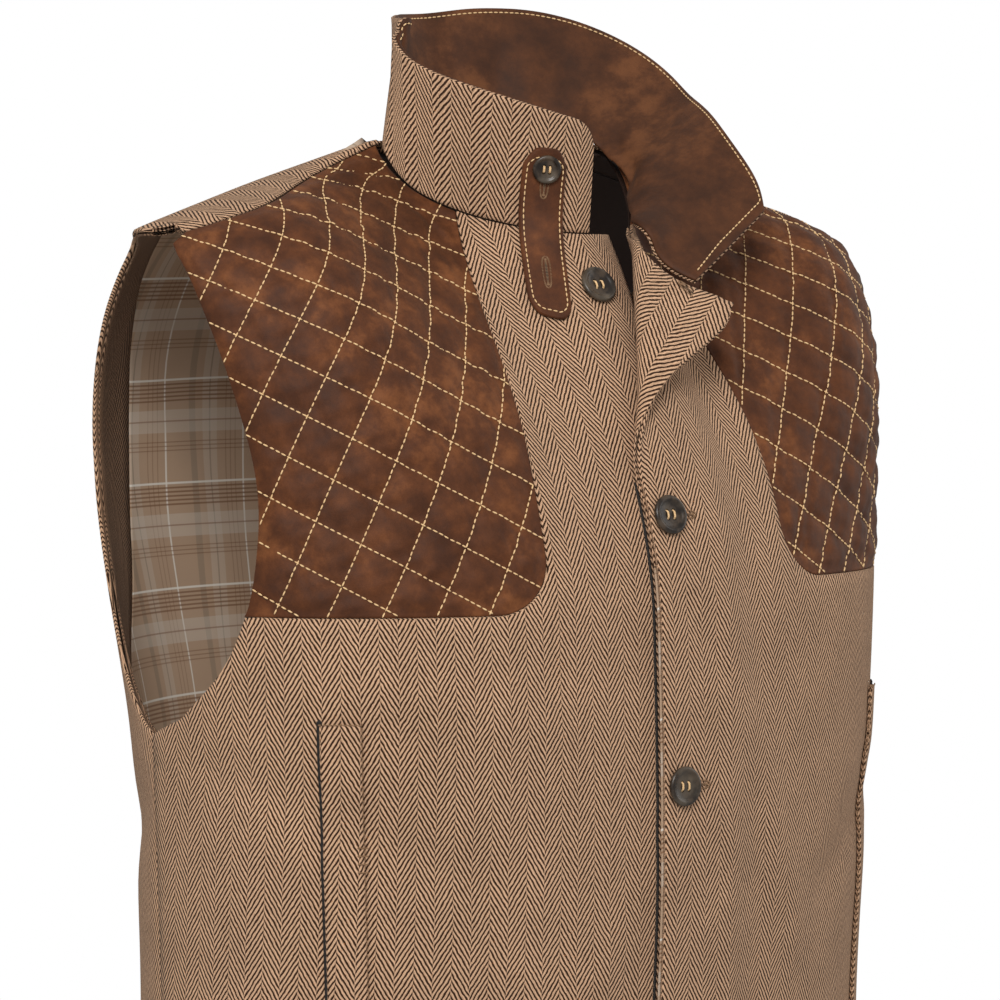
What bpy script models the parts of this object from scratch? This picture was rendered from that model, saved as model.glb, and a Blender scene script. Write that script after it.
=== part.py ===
"""Hunting vest of herringbone tweed, with quilted leather shoulder patches, as it hangs on a general figure.

Metres, +Z up. The front faces -Y and the wearer's left is +X. The origin is between the shoulders, at the
height where the shoulder ridge meets the neck, which is where the wearer carries the vest.

A place on the body is a turn round it (0 at the front centre, + to the wearer's left, 180 degrees at the
back centre) and a height. The cloth lies on that body: each piece is a grid of places between its own cut
edges, with an inner and an outer point at each place.
"""

import math

import bmesh
import bpy
import mathutils
import numpy as np

for startup in list(bpy.data.objects):
    bpy.data.objects.remove(startup)

RIGHT = -1
LEFT = 1

# Walls, outwards from the body's surface, and the gap that neighbours keep.
TWEED = 0.0020
LEATHER = 0.0016
LINING = 0.0010
FACING = 0.0012
GAP = 0.0003
INSIDE_GAP = 0.0010
OVERLAP = 0.0054
OVERLAP_FROM_X = 0.055
OVERLAP_FULL_X = 0.026

# Shoulders and neck.
NECK_X = 0.075
TIP_X = 0.214
RIDGE_Y = 0.012
RIDGE_FALL = 0.045
RIDGE_CURVE = -0.003
LEFT_FALL = 0.005
LEFT_FORWARD = 0.016
SEAM_DROP_NECK = 0.0030
SEAM_DROP_TIP = 0.0048
SEAM_GAP = 0.0008
NECK_FRONT = 0.057
NECK_BACK = 0.020
NECK_FRONT_Z = -0.049
NECK_BACK_Z = -0.006
COLLAR_END_X = 0.008
CHEST_REACH = 0.25
BACK_REACH = 0.13

# Closing, side seams and hem.
EDGE_X = 0.017
EDGE_TOP_X = 0.030
SIDE_TURN = math.radians(94)
HEM_Z = -0.68
UNDERARM_Z = -0.301
LINING_HEM_Z = -0.655

# The body's sections: half width, depths to the front and the back centre, and how square each half is.
BODY = [
    # height, width, front, back, front_square, back_square
    (0.02, 0.234, 0.148, 0.146, 2.50, 2.70),
    (-0.06, 0.230, 0.148, 0.150, 2.50, 2.70),
    (-0.12, 0.226, 0.146, 0.151, 2.45, 2.75),
    (-0.18, 0.222, 0.143, 0.152, 2.35, 2.65),
    (-0.24, 0.220, 0.143, 0.151, 2.35, 2.25),
    (-0.30, 0.218, 0.145, 0.148, 2.30, 1.95),
    (-0.38, 0.215, 0.146, 0.146, 2.15, 1.90),
    (-0.45, 0.213, 0.143, 0.146, 2.10, 1.90),
    (-0.56, 0.216, 0.144, 0.149, 2.02, 1.95),
    (-0.68, 0.223, 0.148, 0.153, 2.00, 1.97),
]

# The armhole's two edges, seen from the side: depth from the body's axis at each height.
ARMHOLE_FRONT = [
    # height, depth
    (-0.0528, -0.0110),
    (-0.0677, -0.0220),
    (-0.0867, -0.0320),
    (-0.1070, -0.0410),
    (-0.1330, -0.0500),
    (-0.1770, -0.0590),
    (-0.2053, -0.0590),
    (-0.2396, -0.0530),
    (-0.2690, -0.0370),
    (-0.2914, -0.0110),
]
ARMHOLE_BACK = [
    # height, depth
    (-0.0450, 0.0350),
    (-0.0500, 0.0470),
    (-0.0580, 0.0600),
    (-0.0685, 0.0710),
    (-0.0900, 0.0860),
    (-0.1153, 0.0990),
    (-0.1510, 0.1070),
    (-0.1965, 0.0990),
    (-0.2398, 0.0770),
    (-0.2750, 0.0500),
    (-0.2950, 0.0270),
]
ARMHOLE_FACING = 0.016
BACK_FACING = 0.042
UNDER_PATCH = 0.003

# Large soft folds: a trough or a ridge along a line on the body, fullest in its middle.
FOLDS = [
    # turn_a, height_a, turn_b, height_b (degrees and metres), half_width, rise
    (-84, -0.315, -40, -0.375, 0.016, -0.0030),
    (-62, -0.275, -28, -0.300, 0.012, 0.0018),
    (80, -0.320, 42, -0.390, 0.017, -0.0032),
    (-16, -0.400, -50, -0.520, 0.020, 0.0025),
    (14, -0.270, 34, -0.420, 0.016, 0.0022),
    (20, -0.500, 46, -0.620, 0.022, -0.0030),
    (-24, -0.540, -60, -0.650, 0.022, -0.0026),
    (100, -0.340, 150, -0.430, 0.018, -0.0035),
    (262, -0.335, 214, -0.420, 0.018, -0.0032),
    (120, -0.520, 160, -0.620, 0.022, 0.0030),
    (236, -0.530, 204, -0.640, 0.022, 0.0026),
    (132, -0.120, 156, -0.250, 0.020, -0.0022),
    (226, -0.130, 200, -0.260, 0.020, -0.0022),
]
FOLD_GIRTH = 0.19

# The left front's top corner turns out round this line of the closed front.
ROLL_TOP = (0.046, -0.037)
ROLL_FOOT = (-0.0145, -0.176)
ROLL_ANGLE = math.radians(162)
ROLL_RADIUS = 0.0095
ROLL_DRAG = 0.55
ROLL_SAG = 0.020
ROLL_SAG_SPREAD = 0.045
ROLL_LIFT = 0.018
ROLL_LIFT_SPREAD = 0.055

# The leather patches: the inner edge runs down from the neckline and turns a round corner to the armhole.
PATCH_NECK_X = 0.051
PATCH_CHEST_X = 0.080
PATCH_CORNER = 0.030
PATCH_GAP = 0.0004
PATCH_FOOT = {RIGHT: -0.238, LEFT: -0.226}
QUILT_CELL = 0.024
QUILT_SLANT = math.radians(-29)
QUILT_RISE = 0.0022
QUILT_STEPS = (0.0, 0.5)
QUILT_FADE = 0.009
QUILT_MIDDLE = (0.15, 0.16)
QUILT_CELLS = 9
CHEST_X = 0.13

# The collar stands on its seam, which runs from the right end (0) over the right neck point (1), the back
# centre (2) and the left neck point (3) to the left end (4). It leans out from upright, towards a turn round
# the body.
COLLAR = [
    # place, lean, towards (degrees), height
    (0.0, 6, -10, 0.056),
    (0.5, 12, -30, 0.066),
    (0.8, 2, -65, 0.066),
    (1.0, -8, -92, 0.064),
    (1.5, 1, -145, 0.066),
    (2.0, 19, -180, 0.074),
    (2.4, 20, -194, 0.078),
    (2.7, 28, -215, 0.080),
    (3.0, 52, -250, 0.079),
    (3.5, 55, -262, 0.077),
    (4.0, 57, -262, 0.074),
]
COLLAR_CORNER = 0.014
COLLAR_GAP = 0.0012
COLLAR_TURNED_GAP = 0.0045
COLLAR_LEANT_RISE = 0.0040
COLLAR_FOLDED_RISE = 0.0030
COLLAR_EASE = 0.030
COLLAR_SOFT_FROM = 2.2
COLLAR_ROWS = (0.0, 0.2, 0.5, 0.8, 1.0)

# Pockets, half belt, tab and buttons.
WELT_TOP_Z = -0.291
WELT_FOOT_Z = -0.468
WELT_TURN = math.radians(60.2)
WELT_WIDTH = 0.018
WELT_THICK = 0.0022
WELT_STAND = 0.0013
BELT_TURNS = (math.radians(117), math.radians(243))
BELT_TOP_Z = -0.449
BELT_FOOT_Z = -0.489
BELT_THICK = 0.0030
BELT_STAND = 0.0035
TAB_X = (-0.0190, -0.0201, -0.0322)
TAB_WIDTH = 0.0245
TAB_ROUND = 0.72
TAB_CORNER = 0.008
TAB_ON_COLLAR = 0.042
TAB_THICK = 0.0022
BUTTON_Z = (-0.0757, -0.1924, -0.328, -0.471, -0.614)
TOP_BUTTON_X = -0.0025
BUTTON_X = -0.006
BUTTON_SIZE = 0.0205
BUTTON_STEPS = 14
TAB_BUTTON_SIZE = 0.0150
TAB_BUTTON_STEPS = 12
HOLE_SIZE = 0.0019
HOLE_STAND = 0.0021

COLOURS = {
    # red, green, blue, roughness
    "tweed": (0.42, 0.28, 0.18, 0.92),
    "leather": (0.13, 0.055, 0.028, 0.62),
    "lining": (0.33, 0.27, 0.20, 0.70),
    "horn": (0.055, 0.045, 0.038, 0.35),
}


# The body's surface.


def smooth(x):
    """0 below 0, 1 above 1, and a soft step between."""
    x = np.clip(x, 0.0, 1.0)
    return x * x * (3 - 2 * x)


def read(table, where):
    """The table's other columns where its first column is this, on a smooth curve through the rows."""
    rows = np.array(table, float)
    if rows[0, 0] > rows[-1, 0]:
        rows = rows[::-1]
    keys, values = rows[:, 0], rows[:, 1:]
    slopes = np.gradient(values, keys, axis=0)
    where = np.clip(np.asarray(where, float), keys[0], keys[-1])
    k = np.clip(np.searchsorted(keys, where) - 1, 0, len(keys) - 2)
    span = (keys[k + 1] - keys[k])[..., None]
    t = (where - keys[k])[..., None] / span
    ends = values[k] * (1 + 2 * t) * (1 - t) ** 2 + values[k + 1] * t * t * (3 - 2 * t)
    bend = slopes[k] * span * t * (1 - t) ** 2 - slopes[k + 1] * span * t * t * (1 - t)
    return np.moveaxis(ends + bend, -1, 0)


def ridge(x):
    """The shoulder ridge's height."""
    out = np.maximum(0.0, np.abs(x) - NECK_X) / (TIP_X - NECK_X)
    return -RIDGE_FALL * out - RIDGE_CURVE * out**2


def neck_dish(x):
    """1 at the neck's centre, and 0 from the neck point outwards."""
    return (1 - np.minimum(1.0, np.abs(x) / NECK_X) ** 2) ** 2


def front_depth(x, drop, chest_y):
    """y of the front, this far below the ridge. Above the ridge the sheet runs on backwards."""
    base = RIDGE_Y - NECK_FRONT * neck_dish(x)
    power = 1.6 - 1.2 * smooth((np.abs(x) - 0.02) / 0.16)
    t = np.minimum(1.0, np.abs(drop) / CHEST_REACH)
    share = (1 - (1 - t) ** 2) ** power
    return base + (chest_y - base) * np.sign(drop) * share


def back_depth(x, drop, blade_y):
    """y of the back, this far below the ridge."""
    base = RIDGE_Y + NECK_BACK * neck_dish(x)
    power = 0.8 - 0.3 * smooth(np.abs(x) / 0.15)
    t = np.minimum(1.0, np.abs(drop) / BACK_REACH)
    return base + (blade_y - base) * (1 - (1 - t) ** 2) ** power


def section_depth(x, width, depth, square):
    return depth * (1 - np.minimum(0.9999, np.abs(x) / width) ** square) ** (1 / square)


def on_body(turn, height):
    """The body's surface. A place of the back half above the ridge lies just over it, on the front."""
    turn, height = np.broadcast_arrays(np.asarray(turn, float), np.asarray(height, float))
    width, front, back, front_square, back_square = read(BODY, height)
    to_front = np.cos(turn) > 0
    depth = np.where(to_front, front, back)
    square = np.where(to_front, front_square, back_square)
    s, c = np.sin(turn), np.cos(turn)
    reach = (np.abs(s / width) ** square + np.abs(c / depth) ** square) ** (-1 / square)
    x, y = reach * s, -reach * c
    drop = ridge(x) - height
    chest_y = -section_depth(x, width, front, front_square)
    over = ~to_front & (drop < 0)
    front_y = front_depth(x, np.where(over, -drop, drop), np.where(over, chest_y, y))
    y = np.where(to_front | over, front_y, back_depth(x, drop, y))
    z = np.where(over, ridge(x) + drop, height)
    left_shoulder = smooth(x / 0.19) * smooth((z + 0.30) / 0.26)
    return np.stack([x, y - LEFT_FORWARD * left_shoulder, z - LEFT_FALL * left_shoulder], axis=-1)


def outward(turn, height):
    """The surface's outward normal."""
    turn_step, height_step = 2e-3, 4e-4
    across = on_body(turn + turn_step, height) - on_body(turn - turn_step, height)
    up = on_body(turn, height + height_step) - on_body(turn, height - height_step)
    normal = np.cross(across, up)
    normal /= np.linalg.norm(normal, axis=-1, keepdims=True)
    point = on_body(turn, height)
    core = point * (0, 0, 1) + (0, RIDGE_Y, -0.12)
    facing = np.sign(np.sum(normal * (point - core), axis=-1, keepdims=True))
    return normal * facing


def fold_rise(turn, height):
    """How far the folds lift the cloth here."""
    total = np.zeros(np.shape(turn))
    for turn_a, z_a, turn_b, z_b, half_width, rise in FOLDS:
        a = np.array((math.radians(turn_a) * FOLD_GIRTH, z_a))
        b = np.array((math.radians(turn_b) * FOLD_GIRTH, z_b))
        here = np.stack([turn * FOLD_GIRTH, height], axis=-1) - a
        along = here @ (b - a) / np.dot(b - a, b - a)
        off = np.linalg.norm(here - np.clip(along, 0, 1)[..., None] * (b - a), axis=-1)
        ends = smooth(along * 3 + 0.6) * smooth((1 - along) * 3 + 0.6)
        total = total + rise * ends * np.exp(-((off / half_width) ** 2))
    return total


def turn_at(x, height):
    """The turn on the front half where the body is this far from the centre."""
    width, front, _, square, _ = read(BODY, height)
    return np.arctan2(x, section_depth(x, width, front, square))


def back_turn_at(x, height):
    width, _, back, _, square = read(BODY, height)
    return np.arctan2(x, -section_depth(x, width, back, square)) % (2 * math.pi)


# Where the cloth lies: a point at each place, at a lift from the body's surface.


def lay(turn, height, lift):
    turn, height = np.asarray(turn, float), np.asarray(height, float)
    stand = lift - TWEED + fold_rise(turn, height)
    return on_body(turn, height) + outward(turn, height) * stand[..., None]


def roll_frame():
    """The roll line's top, its direction, the way across it to the corner, and outwards."""
    top = on_body(turn_at(*ROLL_TOP), ROLL_TOP[1])
    foot = on_body(turn_at(*ROLL_FOOT), ROLL_FOOT[1])
    along = (foot - top) / np.linalg.norm(foot - top)
    corner = on_body(turn_at(-EDGE_TOP_X, NECK_FRONT_Z), NECK_FRONT_Z) - top
    across = corner - along * np.dot(corner, along)
    across /= np.linalg.norm(across)
    return top, along, across, np.cross(across, along)


def chest_terms(here, past):
    return np.stack([here**i * past**j for i in range(4) for j in range(4 - i)], axis=-1)


def chest_curve():
    """How far the left chest stands from the roll line's plane: a cubic in the ways along and across it."""
    top, along, across, out = roll_frame()
    x, height = np.meshgrid(np.linspace(-0.02, 0.10, 13), np.linspace(-0.035, -0.25, 18))
    near = on_body(turn_at(x, height), height) - top
    here, past = (near @ along).ravel(), (near @ across).ravel()
    return np.linalg.lstsq(chest_terms(here, past), (near @ out).ravel(), rcond=None)[0]


def lay_left(turn, height, lift):
    """The left front: lifted over the right one at the closing, and with its top corner turned out."""
    turn, height = np.asarray(turn, float), np.asarray(height, float)
    lift = np.broadcast_to(np.asarray(lift, float), turn.shape)[..., None]
    top, along, across, out = roll_frame()
    surface = on_body(turn, height)
    x = surface[..., 0]
    over = OVERLAP * smooth((OVERLAP_FROM_X - x) / (OVERLAP_FROM_X - OVERLAP_FULL_X))
    normal = outward(turn, height)
    surface = surface + normal * (over - TWEED + fold_rise(turn, height))[..., None]
    from_top = np.linalg.norm(surface - top, axis=-1, keepdims=True)
    surface = surface + along * ROLL_SAG * np.exp(-((from_top / ROLL_SAG_SPREAD) ** 2))
    near = surface - top
    here, past = near @ along, near @ across
    spread = np.linalg.norm(near - np.maximum(past, 0)[..., None] * across, axis=-1) / ROLL_LIFT_SPREAD
    lifted = (ROLL_LIFT * np.exp(-spread * spread))[..., None] * out
    unrolled = surface + normal * lift + lifted
    dragged = here + ROLL_DRAG * np.maximum(past, 0)
    arc = np.clip(past, 0, ROLL_RADIUS * ROLL_ANGLE)
    angle, flat = arc / ROLL_RADIUS, past - arc
    level = ROLL_RADIUS * np.sin(angle) + flat * np.cos(angle)
    raised = ROLL_RADIUS * (1 - np.cos(angle)) + flat * np.sin(angle)
    curve = chest_curve()
    own = (near @ out - chest_terms(here, past) @ curve) * np.cos(angle)
    raised = raised + chest_terms(dragged, level) @ curve + own
    thickness = out * np.cos(angle)[..., None] - across * np.sin(angle)[..., None]
    turned = top + along * dragged[..., None] + across * level[..., None] + out * raised[..., None]
    return np.where((past > 0)[..., None], turned + thickness * lift + lifted, unrolled)


LAY = {RIGHT: lay, LEFT: lay_left}


# Cut edges, as rows of places (turn, height).


def places(turns, heights):
    return np.stack(np.broadcast_arrays(np.asarray(turns, float), np.asarray(heights, float)), axis=-1)


def chain(*stretches):
    """Stretches that meet end to end as one edge."""
    joined = [np.asarray(stretches[0])]
    for stretch in stretches[1:]:
        joined.append(np.asarray(stretch)[1:])
    return np.concatenate(joined)


def straight(a, b, steps):
    return np.linspace(np.asarray(a, float), np.asarray(b, float), steps + 1)


def runs(points):
    """The distance along each row of points."""
    steps = np.linalg.norm(np.diff(points, axis=-2), axis=-1)
    return np.concatenate([np.zeros(steps.shape[:-1] + (1,)), np.cumsum(steps, axis=-1)], axis=-1)


def spaced(edge, shares):
    """The edge's places at these shares of its length on the cloth."""
    length = runs(on_body(edge[:, 0], edge[:, 1]))
    wanted = length[-1] * np.asarray(shares)
    return np.stack([np.interp(wanted, length, edge[:, k]) for k in (0, 1)], axis=1)


def evenly(edge, steps):
    return spaced(edge, np.linspace(0, 1, steps + 1))


def between(top, foot, left, right):
    """A grid of places between four edges, with as many places on the opposite ones."""
    u = np.linspace(0, 1, len(top))[None, :, None]
    v = np.linspace(0, 1, len(left))[:, None, None]
    across = (1 - v) * top[None] + v * foot[None]
    down = (1 - u) * left[:, None] + u * right[:, None]
    corners = (1 - u) * ((1 - v) * top[0] + v * foot[0]) + u * ((1 - v) * top[-1] + v * foot[-1])
    grid = across + down - corners
    grid[:, 0], grid[:, -1], grid[0], grid[-1] = left, right, top, foot
    return grid


def inset(edge, width, into, steps=4):
    """The edge moved sideways over the surface by the width, to the side where this other place lies."""
    moved = np.array(edge, float)
    width = np.broadcast_to(width, len(moved))
    step = 1e-4
    for _ in range(steps):
        turn, height = moved[:, 0], moved[:, 1]
        point = on_body(turn, height)
        by_turn = (on_body(turn + step, height) - point) / step
        by_height = (point - on_body(turn, height - step)) / step
        aside = np.cross(np.cross(by_turn, by_height), np.gradient(point, axis=0))
        aside /= np.linalg.norm(aside, axis=1, keepdims=True)
        middle = len(aside) // 2
        if np.dot(aside[middle], on_body(*into) - point[middle]) < 0:
            aside = -aside
        for k, (a, b) in enumerate(zip(by_turn, by_height)):
            shift = np.linalg.lstsq(np.stack([a, b], axis=1), aside[k] * width[k] / steps, rcond=None)[0]
            moved[k] += shift
    return moved


def edge_reach(height):
    """How far past the front centre the closing edge runs."""
    return EDGE_X + (EDGE_TOP_X - EDGE_X) * smooth((height + 0.12) / 0.075)


def closing_edge(side, top, foot, steps):
    heights = np.linspace(top, foot, steps + 1)
    return places(turn_at(-side * edge_reach(heights), heights), heights)


def neckline_height(x):
    """The front neckline's height, this far out on the front's own side."""
    share = np.clip((x + COLLAR_END_X) / (NECK_X + COLLAR_END_X), 0, 1)
    return -SEAM_DROP_NECK + (NECK_FRONT_Z + SEAM_DROP_NECK) * np.sqrt(1 - share**2.3)


def front_neckline(side, x_from, x_to, count=17):
    x = np.linspace(x_from, x_to, count)
    heights = neckline_height(x)
    return places(turn_at(side * x, heights), heights)


def back_neckline(count=25):
    """The back neckline from the right neck point to the left one."""
    x = np.linspace(-NECK_X, NECK_X, count)
    rise = SEAM_DROP_NECK - SEAM_GAP - NECK_BACK_Z
    heights = NECK_BACK_Z + rise * (np.abs(x) / NECK_X) ** 2.5
    return places(back_turn_at(x, heights), heights)


def seam_drop(x):
    return SEAM_DROP_NECK + (SEAM_DROP_TIP - SEAM_DROP_NECK) * (np.abs(x) - NECK_X) / (TIP_X - NECK_X)


def shoulder_seam(side, half, x_from=NECK_X, x_to=TIP_X, count=13):
    """The shoulder seam from the neck to the tip, as the front's edge or the back's."""
    x = np.linspace(x_from, x_to, count)
    if half == "front":
        heights = ridge(x) - seam_drop(x)
        return places(turn_at(side * x, heights), heights)
    heights = ridge(x) + seam_drop(x) - SEAM_GAP
    return places(back_turn_at(side * x, heights), heights)


def armhole(side, half, count=48):
    """The armhole's edge from the shoulder tip to the underarm."""
    table = ARMHOLE_FRONT if half == "front" else ARMHOLE_BACK
    round_over = front_depth if half == "front" else back_depth
    heights = np.linspace(table[0][0], table[-1][0], count)
    depth_y = read(table, heights)[0]
    width, front, back, front_square, back_square = read(BODY, heights)
    x = np.full(count, TIP_X)
    section_y = depth_y
    for _ in range(6):
        share = (round_over(x, ridge(x) - heights, 1.0) - RIDGE_Y) / (1.0 - RIDGE_Y)
        section_y = RIDGE_Y + (depth_y - RIDGE_Y) / share
        to_front = section_y < 0
        square = np.where(to_front, front_square, back_square)
        x = section_depth(section_y, np.where(to_front, front, back), width, square)
    edge = places(np.arctan2(x, -section_y), heights)
    first = shoulder_seam(LEFT, half)[-1:]
    last = side_seam(LEFT, half, UNDERARM_Z, 1)[:1]
    if half == "back":
        over_ridge = places([back_turn_at(TIP_X, ridge(TIP_X))], [ridge(TIP_X)])
        first = np.concatenate([first, over_ridge])
    edge = np.concatenate([first, edge, last])
    if side == RIGHT:
        edge[:, 0] = -edge[:, 0] if half == "front" else 2 * math.pi - edge[:, 0]
    return edge


def side_seam(side, half, top, steps):
    """A side seam: evenly to the lining's hem, and on to the hem."""
    turn = SIDE_TURN if half == "front" else SIDE_TURN + GAP / BODY[5][1]
    if side == RIGHT:
        turn = -turn if half == "front" else 2 * math.pi - turn
    return places(turn, np.append(np.linspace(top, LINING_HEM_Z, steps + 1), HEM_Z))


def cut_at(edge, height):
    """An edge in two, above and below this height. Its first places may lie lower than the next ones."""
    k = next(i for i in range(3, len(edge)) if edge[i, 1] < height)
    share = (height - edge[k - 1, 1]) / (edge[k, 1] - edge[k - 1, 1])
    cut = edge[k - 1] + share * (edge[k] - edge[k - 1])
    return np.vstack([edge[:k], cut]), np.vstack([cut, edge[k:]])


def armhole_lines(side, half, steps):
    """The armhole's edge and the line that its facing reaches, from the shoulder tip to the side seam."""
    edge = evenly(armhole(side, half), steps)
    into = (side * math.radians(50), -0.20) if half == "front" else (math.pi, -0.18)
    share = np.linspace(0, 1, steps + 1)
    swell = smooth((share - 0.17) / 0.33) * smooth((1 - share) / 0.35)
    far = inset(edge, ARMHOLE_FACING + (BACK_FACING - ARMHOLE_FACING) * swell, into)
    far[0] = shoulder_seam(side, half, TIP_X - ARMHOLE_FACING, TIP_X - ARMHOLE_FACING, 1)[0]
    far[-1] = edge[-1] - (0, ARMHOLE_FACING)
    near = len(far) // 8
    far[1:near] = straight(far[0], far[near], near)[1:-1]
    return edge, far


def front_armhole(side):
    """The front's armhole lines in two: beside the patch, and from its foot to the side seam."""
    upper, lower = cut_at(armhole(side, "front"), PATCH_FOOT[side])
    edge = chain(evenly(upper, 10), evenly(lower, 4))
    far = inset(edge, ARMHOLE_FACING, (side * math.radians(50), -0.20))
    far[0] = shoulder_seam(side, "front", TIP_X - ARMHOLE_FACING, TIP_X - ARMHOLE_FACING, 1)[0]
    far[-1] = edge[-1] - (0, ARMHOLE_FACING)
    far[10, 1] = PATCH_FOOT[side]
    return edge[:11], far[:11], edge[10:], far[10:]


def patch_seam(side, width, into):
    """The seam round a patch, moved aside: to its corner's middle, and on to the armhole."""
    foot = PATCH_FOOT[side]
    neck_z = neckline_height(PATCH_NECK_X)
    heights = np.linspace(neck_z, foot + PATCH_CORNER, 14)
    share = (neck_z - heights) / (neck_z - foot - PATCH_CORNER)
    x = PATCH_NECK_X + (PATCH_CHEST_X - PATCH_NECK_X) * (1 - (1 - share) ** 1.7)
    inner = evenly(places(turn_at(side * x, heights), heights), 8)
    angles = np.linspace(0, math.pi / 2, 5)
    arc_x = PATCH_CHEST_X + PATCH_CORNER * (1 - np.cos(angles))
    arc_z = foot + PATCH_CORNER * (1 - np.sin(angles))
    arc = places(turn_at(side * arc_x, arc_z), arc_z)
    edge, far, _, _ = front_armhole(side)
    seam = chain(inner, arc, straight(arc[-1], far[-1], 6), np.array([far[-1], edge[-1]]))
    seam = inset(seam, width, into, 1)
    return seam[:11], seam[10:]


def roll_line():
    """The left front's roll line from the neckline to the closing edge."""
    x = np.linspace(ROLL_TOP[0], ROLL_FOOT[0], 9)
    heights = np.linspace(neckline_height(ROLL_TOP[0]), ROLL_FOOT[1], 9)
    line = places(turn_at(x, heights), heights)
    line[-1] = closing_edge(LEFT, ROLL_FOOT[1], ROLL_FOOT[1], 0)[0]
    return line


def turned_corner():
    """The grid of the left front's corner, from its edge to the roll line, with steps round the bend."""
    line = roll_line()
    neckline = front_neckline(LEFT, -EDGE_TOP_X, ROLL_TOP[0], 33)
    edge = closing_edge(LEFT, neckline[0, 1], ROLL_FOOT[1], 8)
    rows = []
    for k, (near, far) in enumerate(zip(line, edge)):
        row = neckline[::-1] if k == 0 else straight(near, far, 12)
        length = runs(on_body(row[:, 0], row[:, 1]))[-1]
        bend = np.minimum(np.arange(5) / 4 * ROLL_RADIUS * ROLL_ANGLE, np.arange(5) / 6 * length)
        bend = bend / max(length, 1e-9)
        shares = np.append(bend, ((bend[-1] + 1) / 2, 1))
        rows.append(spaced(row, shares)[::-1])
    grid = np.array(rows)
    grid[0, -1], grid[0, 0], grid[-1] = line[0], edge[0], line[-1]
    return grid


# The pieces.

CARRIED = bpy.data.collections.new("hunting_vest")
CUTTERS = bpy.data.collections.new("cutters")


def material(name, kind):
    made = bpy.data.materials.new(name)
    made.use_nodes = True
    shader = made.node_tree.nodes["Principled BSDF"]
    red, green, blue, roughness = COLOURS[kind]
    shader.inputs["Base Color"].default_value = (red, green, blue, 1)
    shader.inputs["Roughness"].default_value = roughness
    shader.inputs["Metallic"].default_value = 0.0
    made.diffuse_color = (red, green, blue, 1)
    return made


def carry(name, mesh, kind):
    """The mesh as a named object in its own material."""
    obj = bpy.data.objects.new(name, mesh)
    CARRIED.objects.link(obj)
    mesh.materials.clear()
    mesh.materials.append(material(name, kind))
    mesh.shade_smooth()
    mesh.set_sharp_from_angle(angle=math.radians(40))
    return obj


def helper(name, mesh):
    obj = bpy.data.objects.new(name, mesh)
    CUTTERS.objects.link(obj)
    obj.hide_render = True
    obj.display_type = "WIRE"
    return obj


def wall(*sheets):
    """A closed wall from pairs of grids, inner and outer points. Grids that meet share their points."""
    sheet = bmesh.new()
    known, rims = {}, {}
    for inner, outer in sheets:
        rows, columns = inner.shape[:2]
        keys = {}
        for j in range(rows):
            for i in range(columns):
                key = tuple(np.round(inner[j, i], 6))
                if key not in known:
                    known[key] = (sheet.verts.new(inner[j, i]), sheet.verts.new(outer[j, i]))
                keys[j, i] = key
        for j in range(rows - 1):
            for i in range(columns - 1):
                corners = (keys[j, i], keys[j + 1, i], keys[j + 1, i + 1], keys[j, i + 1])
                ring = list(dict.fromkeys(corners))
                if len(ring) < 3:
                    continue
                for half in (ring[:3], [ring[0], *ring[2:]])[: len(ring) - 2]:
                    sheet.faces.new([known[key][1] for key in half])
                    sheet.faces.new([known[key][0] for key in reversed(half)])
                for a, b in zip(ring, ring[1:] + ring[:1]):
                    rims[a, b] = True
    for a, b in rims:
        if (b, a) not in rims:
            sheet.faces.new([known[b][1], known[a][1], known[a][0], known[b][0]])
    bmesh.ops.recalc_face_normals(sheet, faces=sheet.faces)
    mesh = bpy.data.meshes.new("wall")
    sheet.to_mesh(mesh)
    sheet.free()
    return mesh


def cloth(name, kind, grids, put, lift_in, lift_out):
    """A piece of cloth from its grids of places, put on the body at two lifts."""
    sheets = []
    for grid in grids:
        turn, height = grid[..., 0], grid[..., 1]
        sheets.append((put(turn, height, lift_in), put(turn, height, lift_out)))
    return carry(name, wall(*sheets), kind)


def front_grids(side):
    """A tweed front's grids, by name. The corner is the left front's alone."""
    inner, foot = patch_seam(side, PATCH_GAP, (side * math.radians(8), -0.40))
    grids = {}
    if side == LEFT:
        grids["corner"] = turned_corner()
        neckline = front_neckline(side, ROLL_TOP[0], PATCH_NECK_X, 7)
        neckline[0] = grids["corner"][0, -1]
        edge = chain(grids["corner"][:, -1], closing_edge(side, ROLL_FOOT[1], inner[-1, 1], 2))
    else:
        neckline = evenly(front_neckline(side, -EDGE_TOP_X, PATCH_NECK_X), 6)
        edge = closing_edge(side, neckline[0, 1], inner[-1, 1], 10)
    neckline[-1] = inner[0]
    middle = straight(edge[-1], inner[-1], 6)
    grids["beside"] = between(neckline, middle, edge, inner)
    _, _, armhole_edge, armhole_far = front_armhole(side)
    armhole_edge[0], armhole_far[0] = foot[-1], foot[-2]
    outer = chain(armhole_far, side_seam(side, "front", armhole_far[-1, 1], 6))
    lower_edge = chain(
        closing_edge(side, middle[0, 1], LINING_HEM_Z, 10),
        closing_edge(side, LINING_HEM_Z, HEM_Z, 1),
    )
    split = side * math.radians(24)
    divide = np.vstack([straight(inner[-1], (split, LINING_HEM_Z), 10), (split, HEM_Z)])
    grids["below"] = between(middle, straight(lower_edge[-1], divide[-1], 6), lower_edge, divide)
    grids["side"] = between(foot[:-1], straight(divide[-1], outer[-1], len(foot) - 2), divide, outer)
    grids["underarm"] = np.stack([armhole_far, armhole_edge], axis=1)
    return grids


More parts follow.
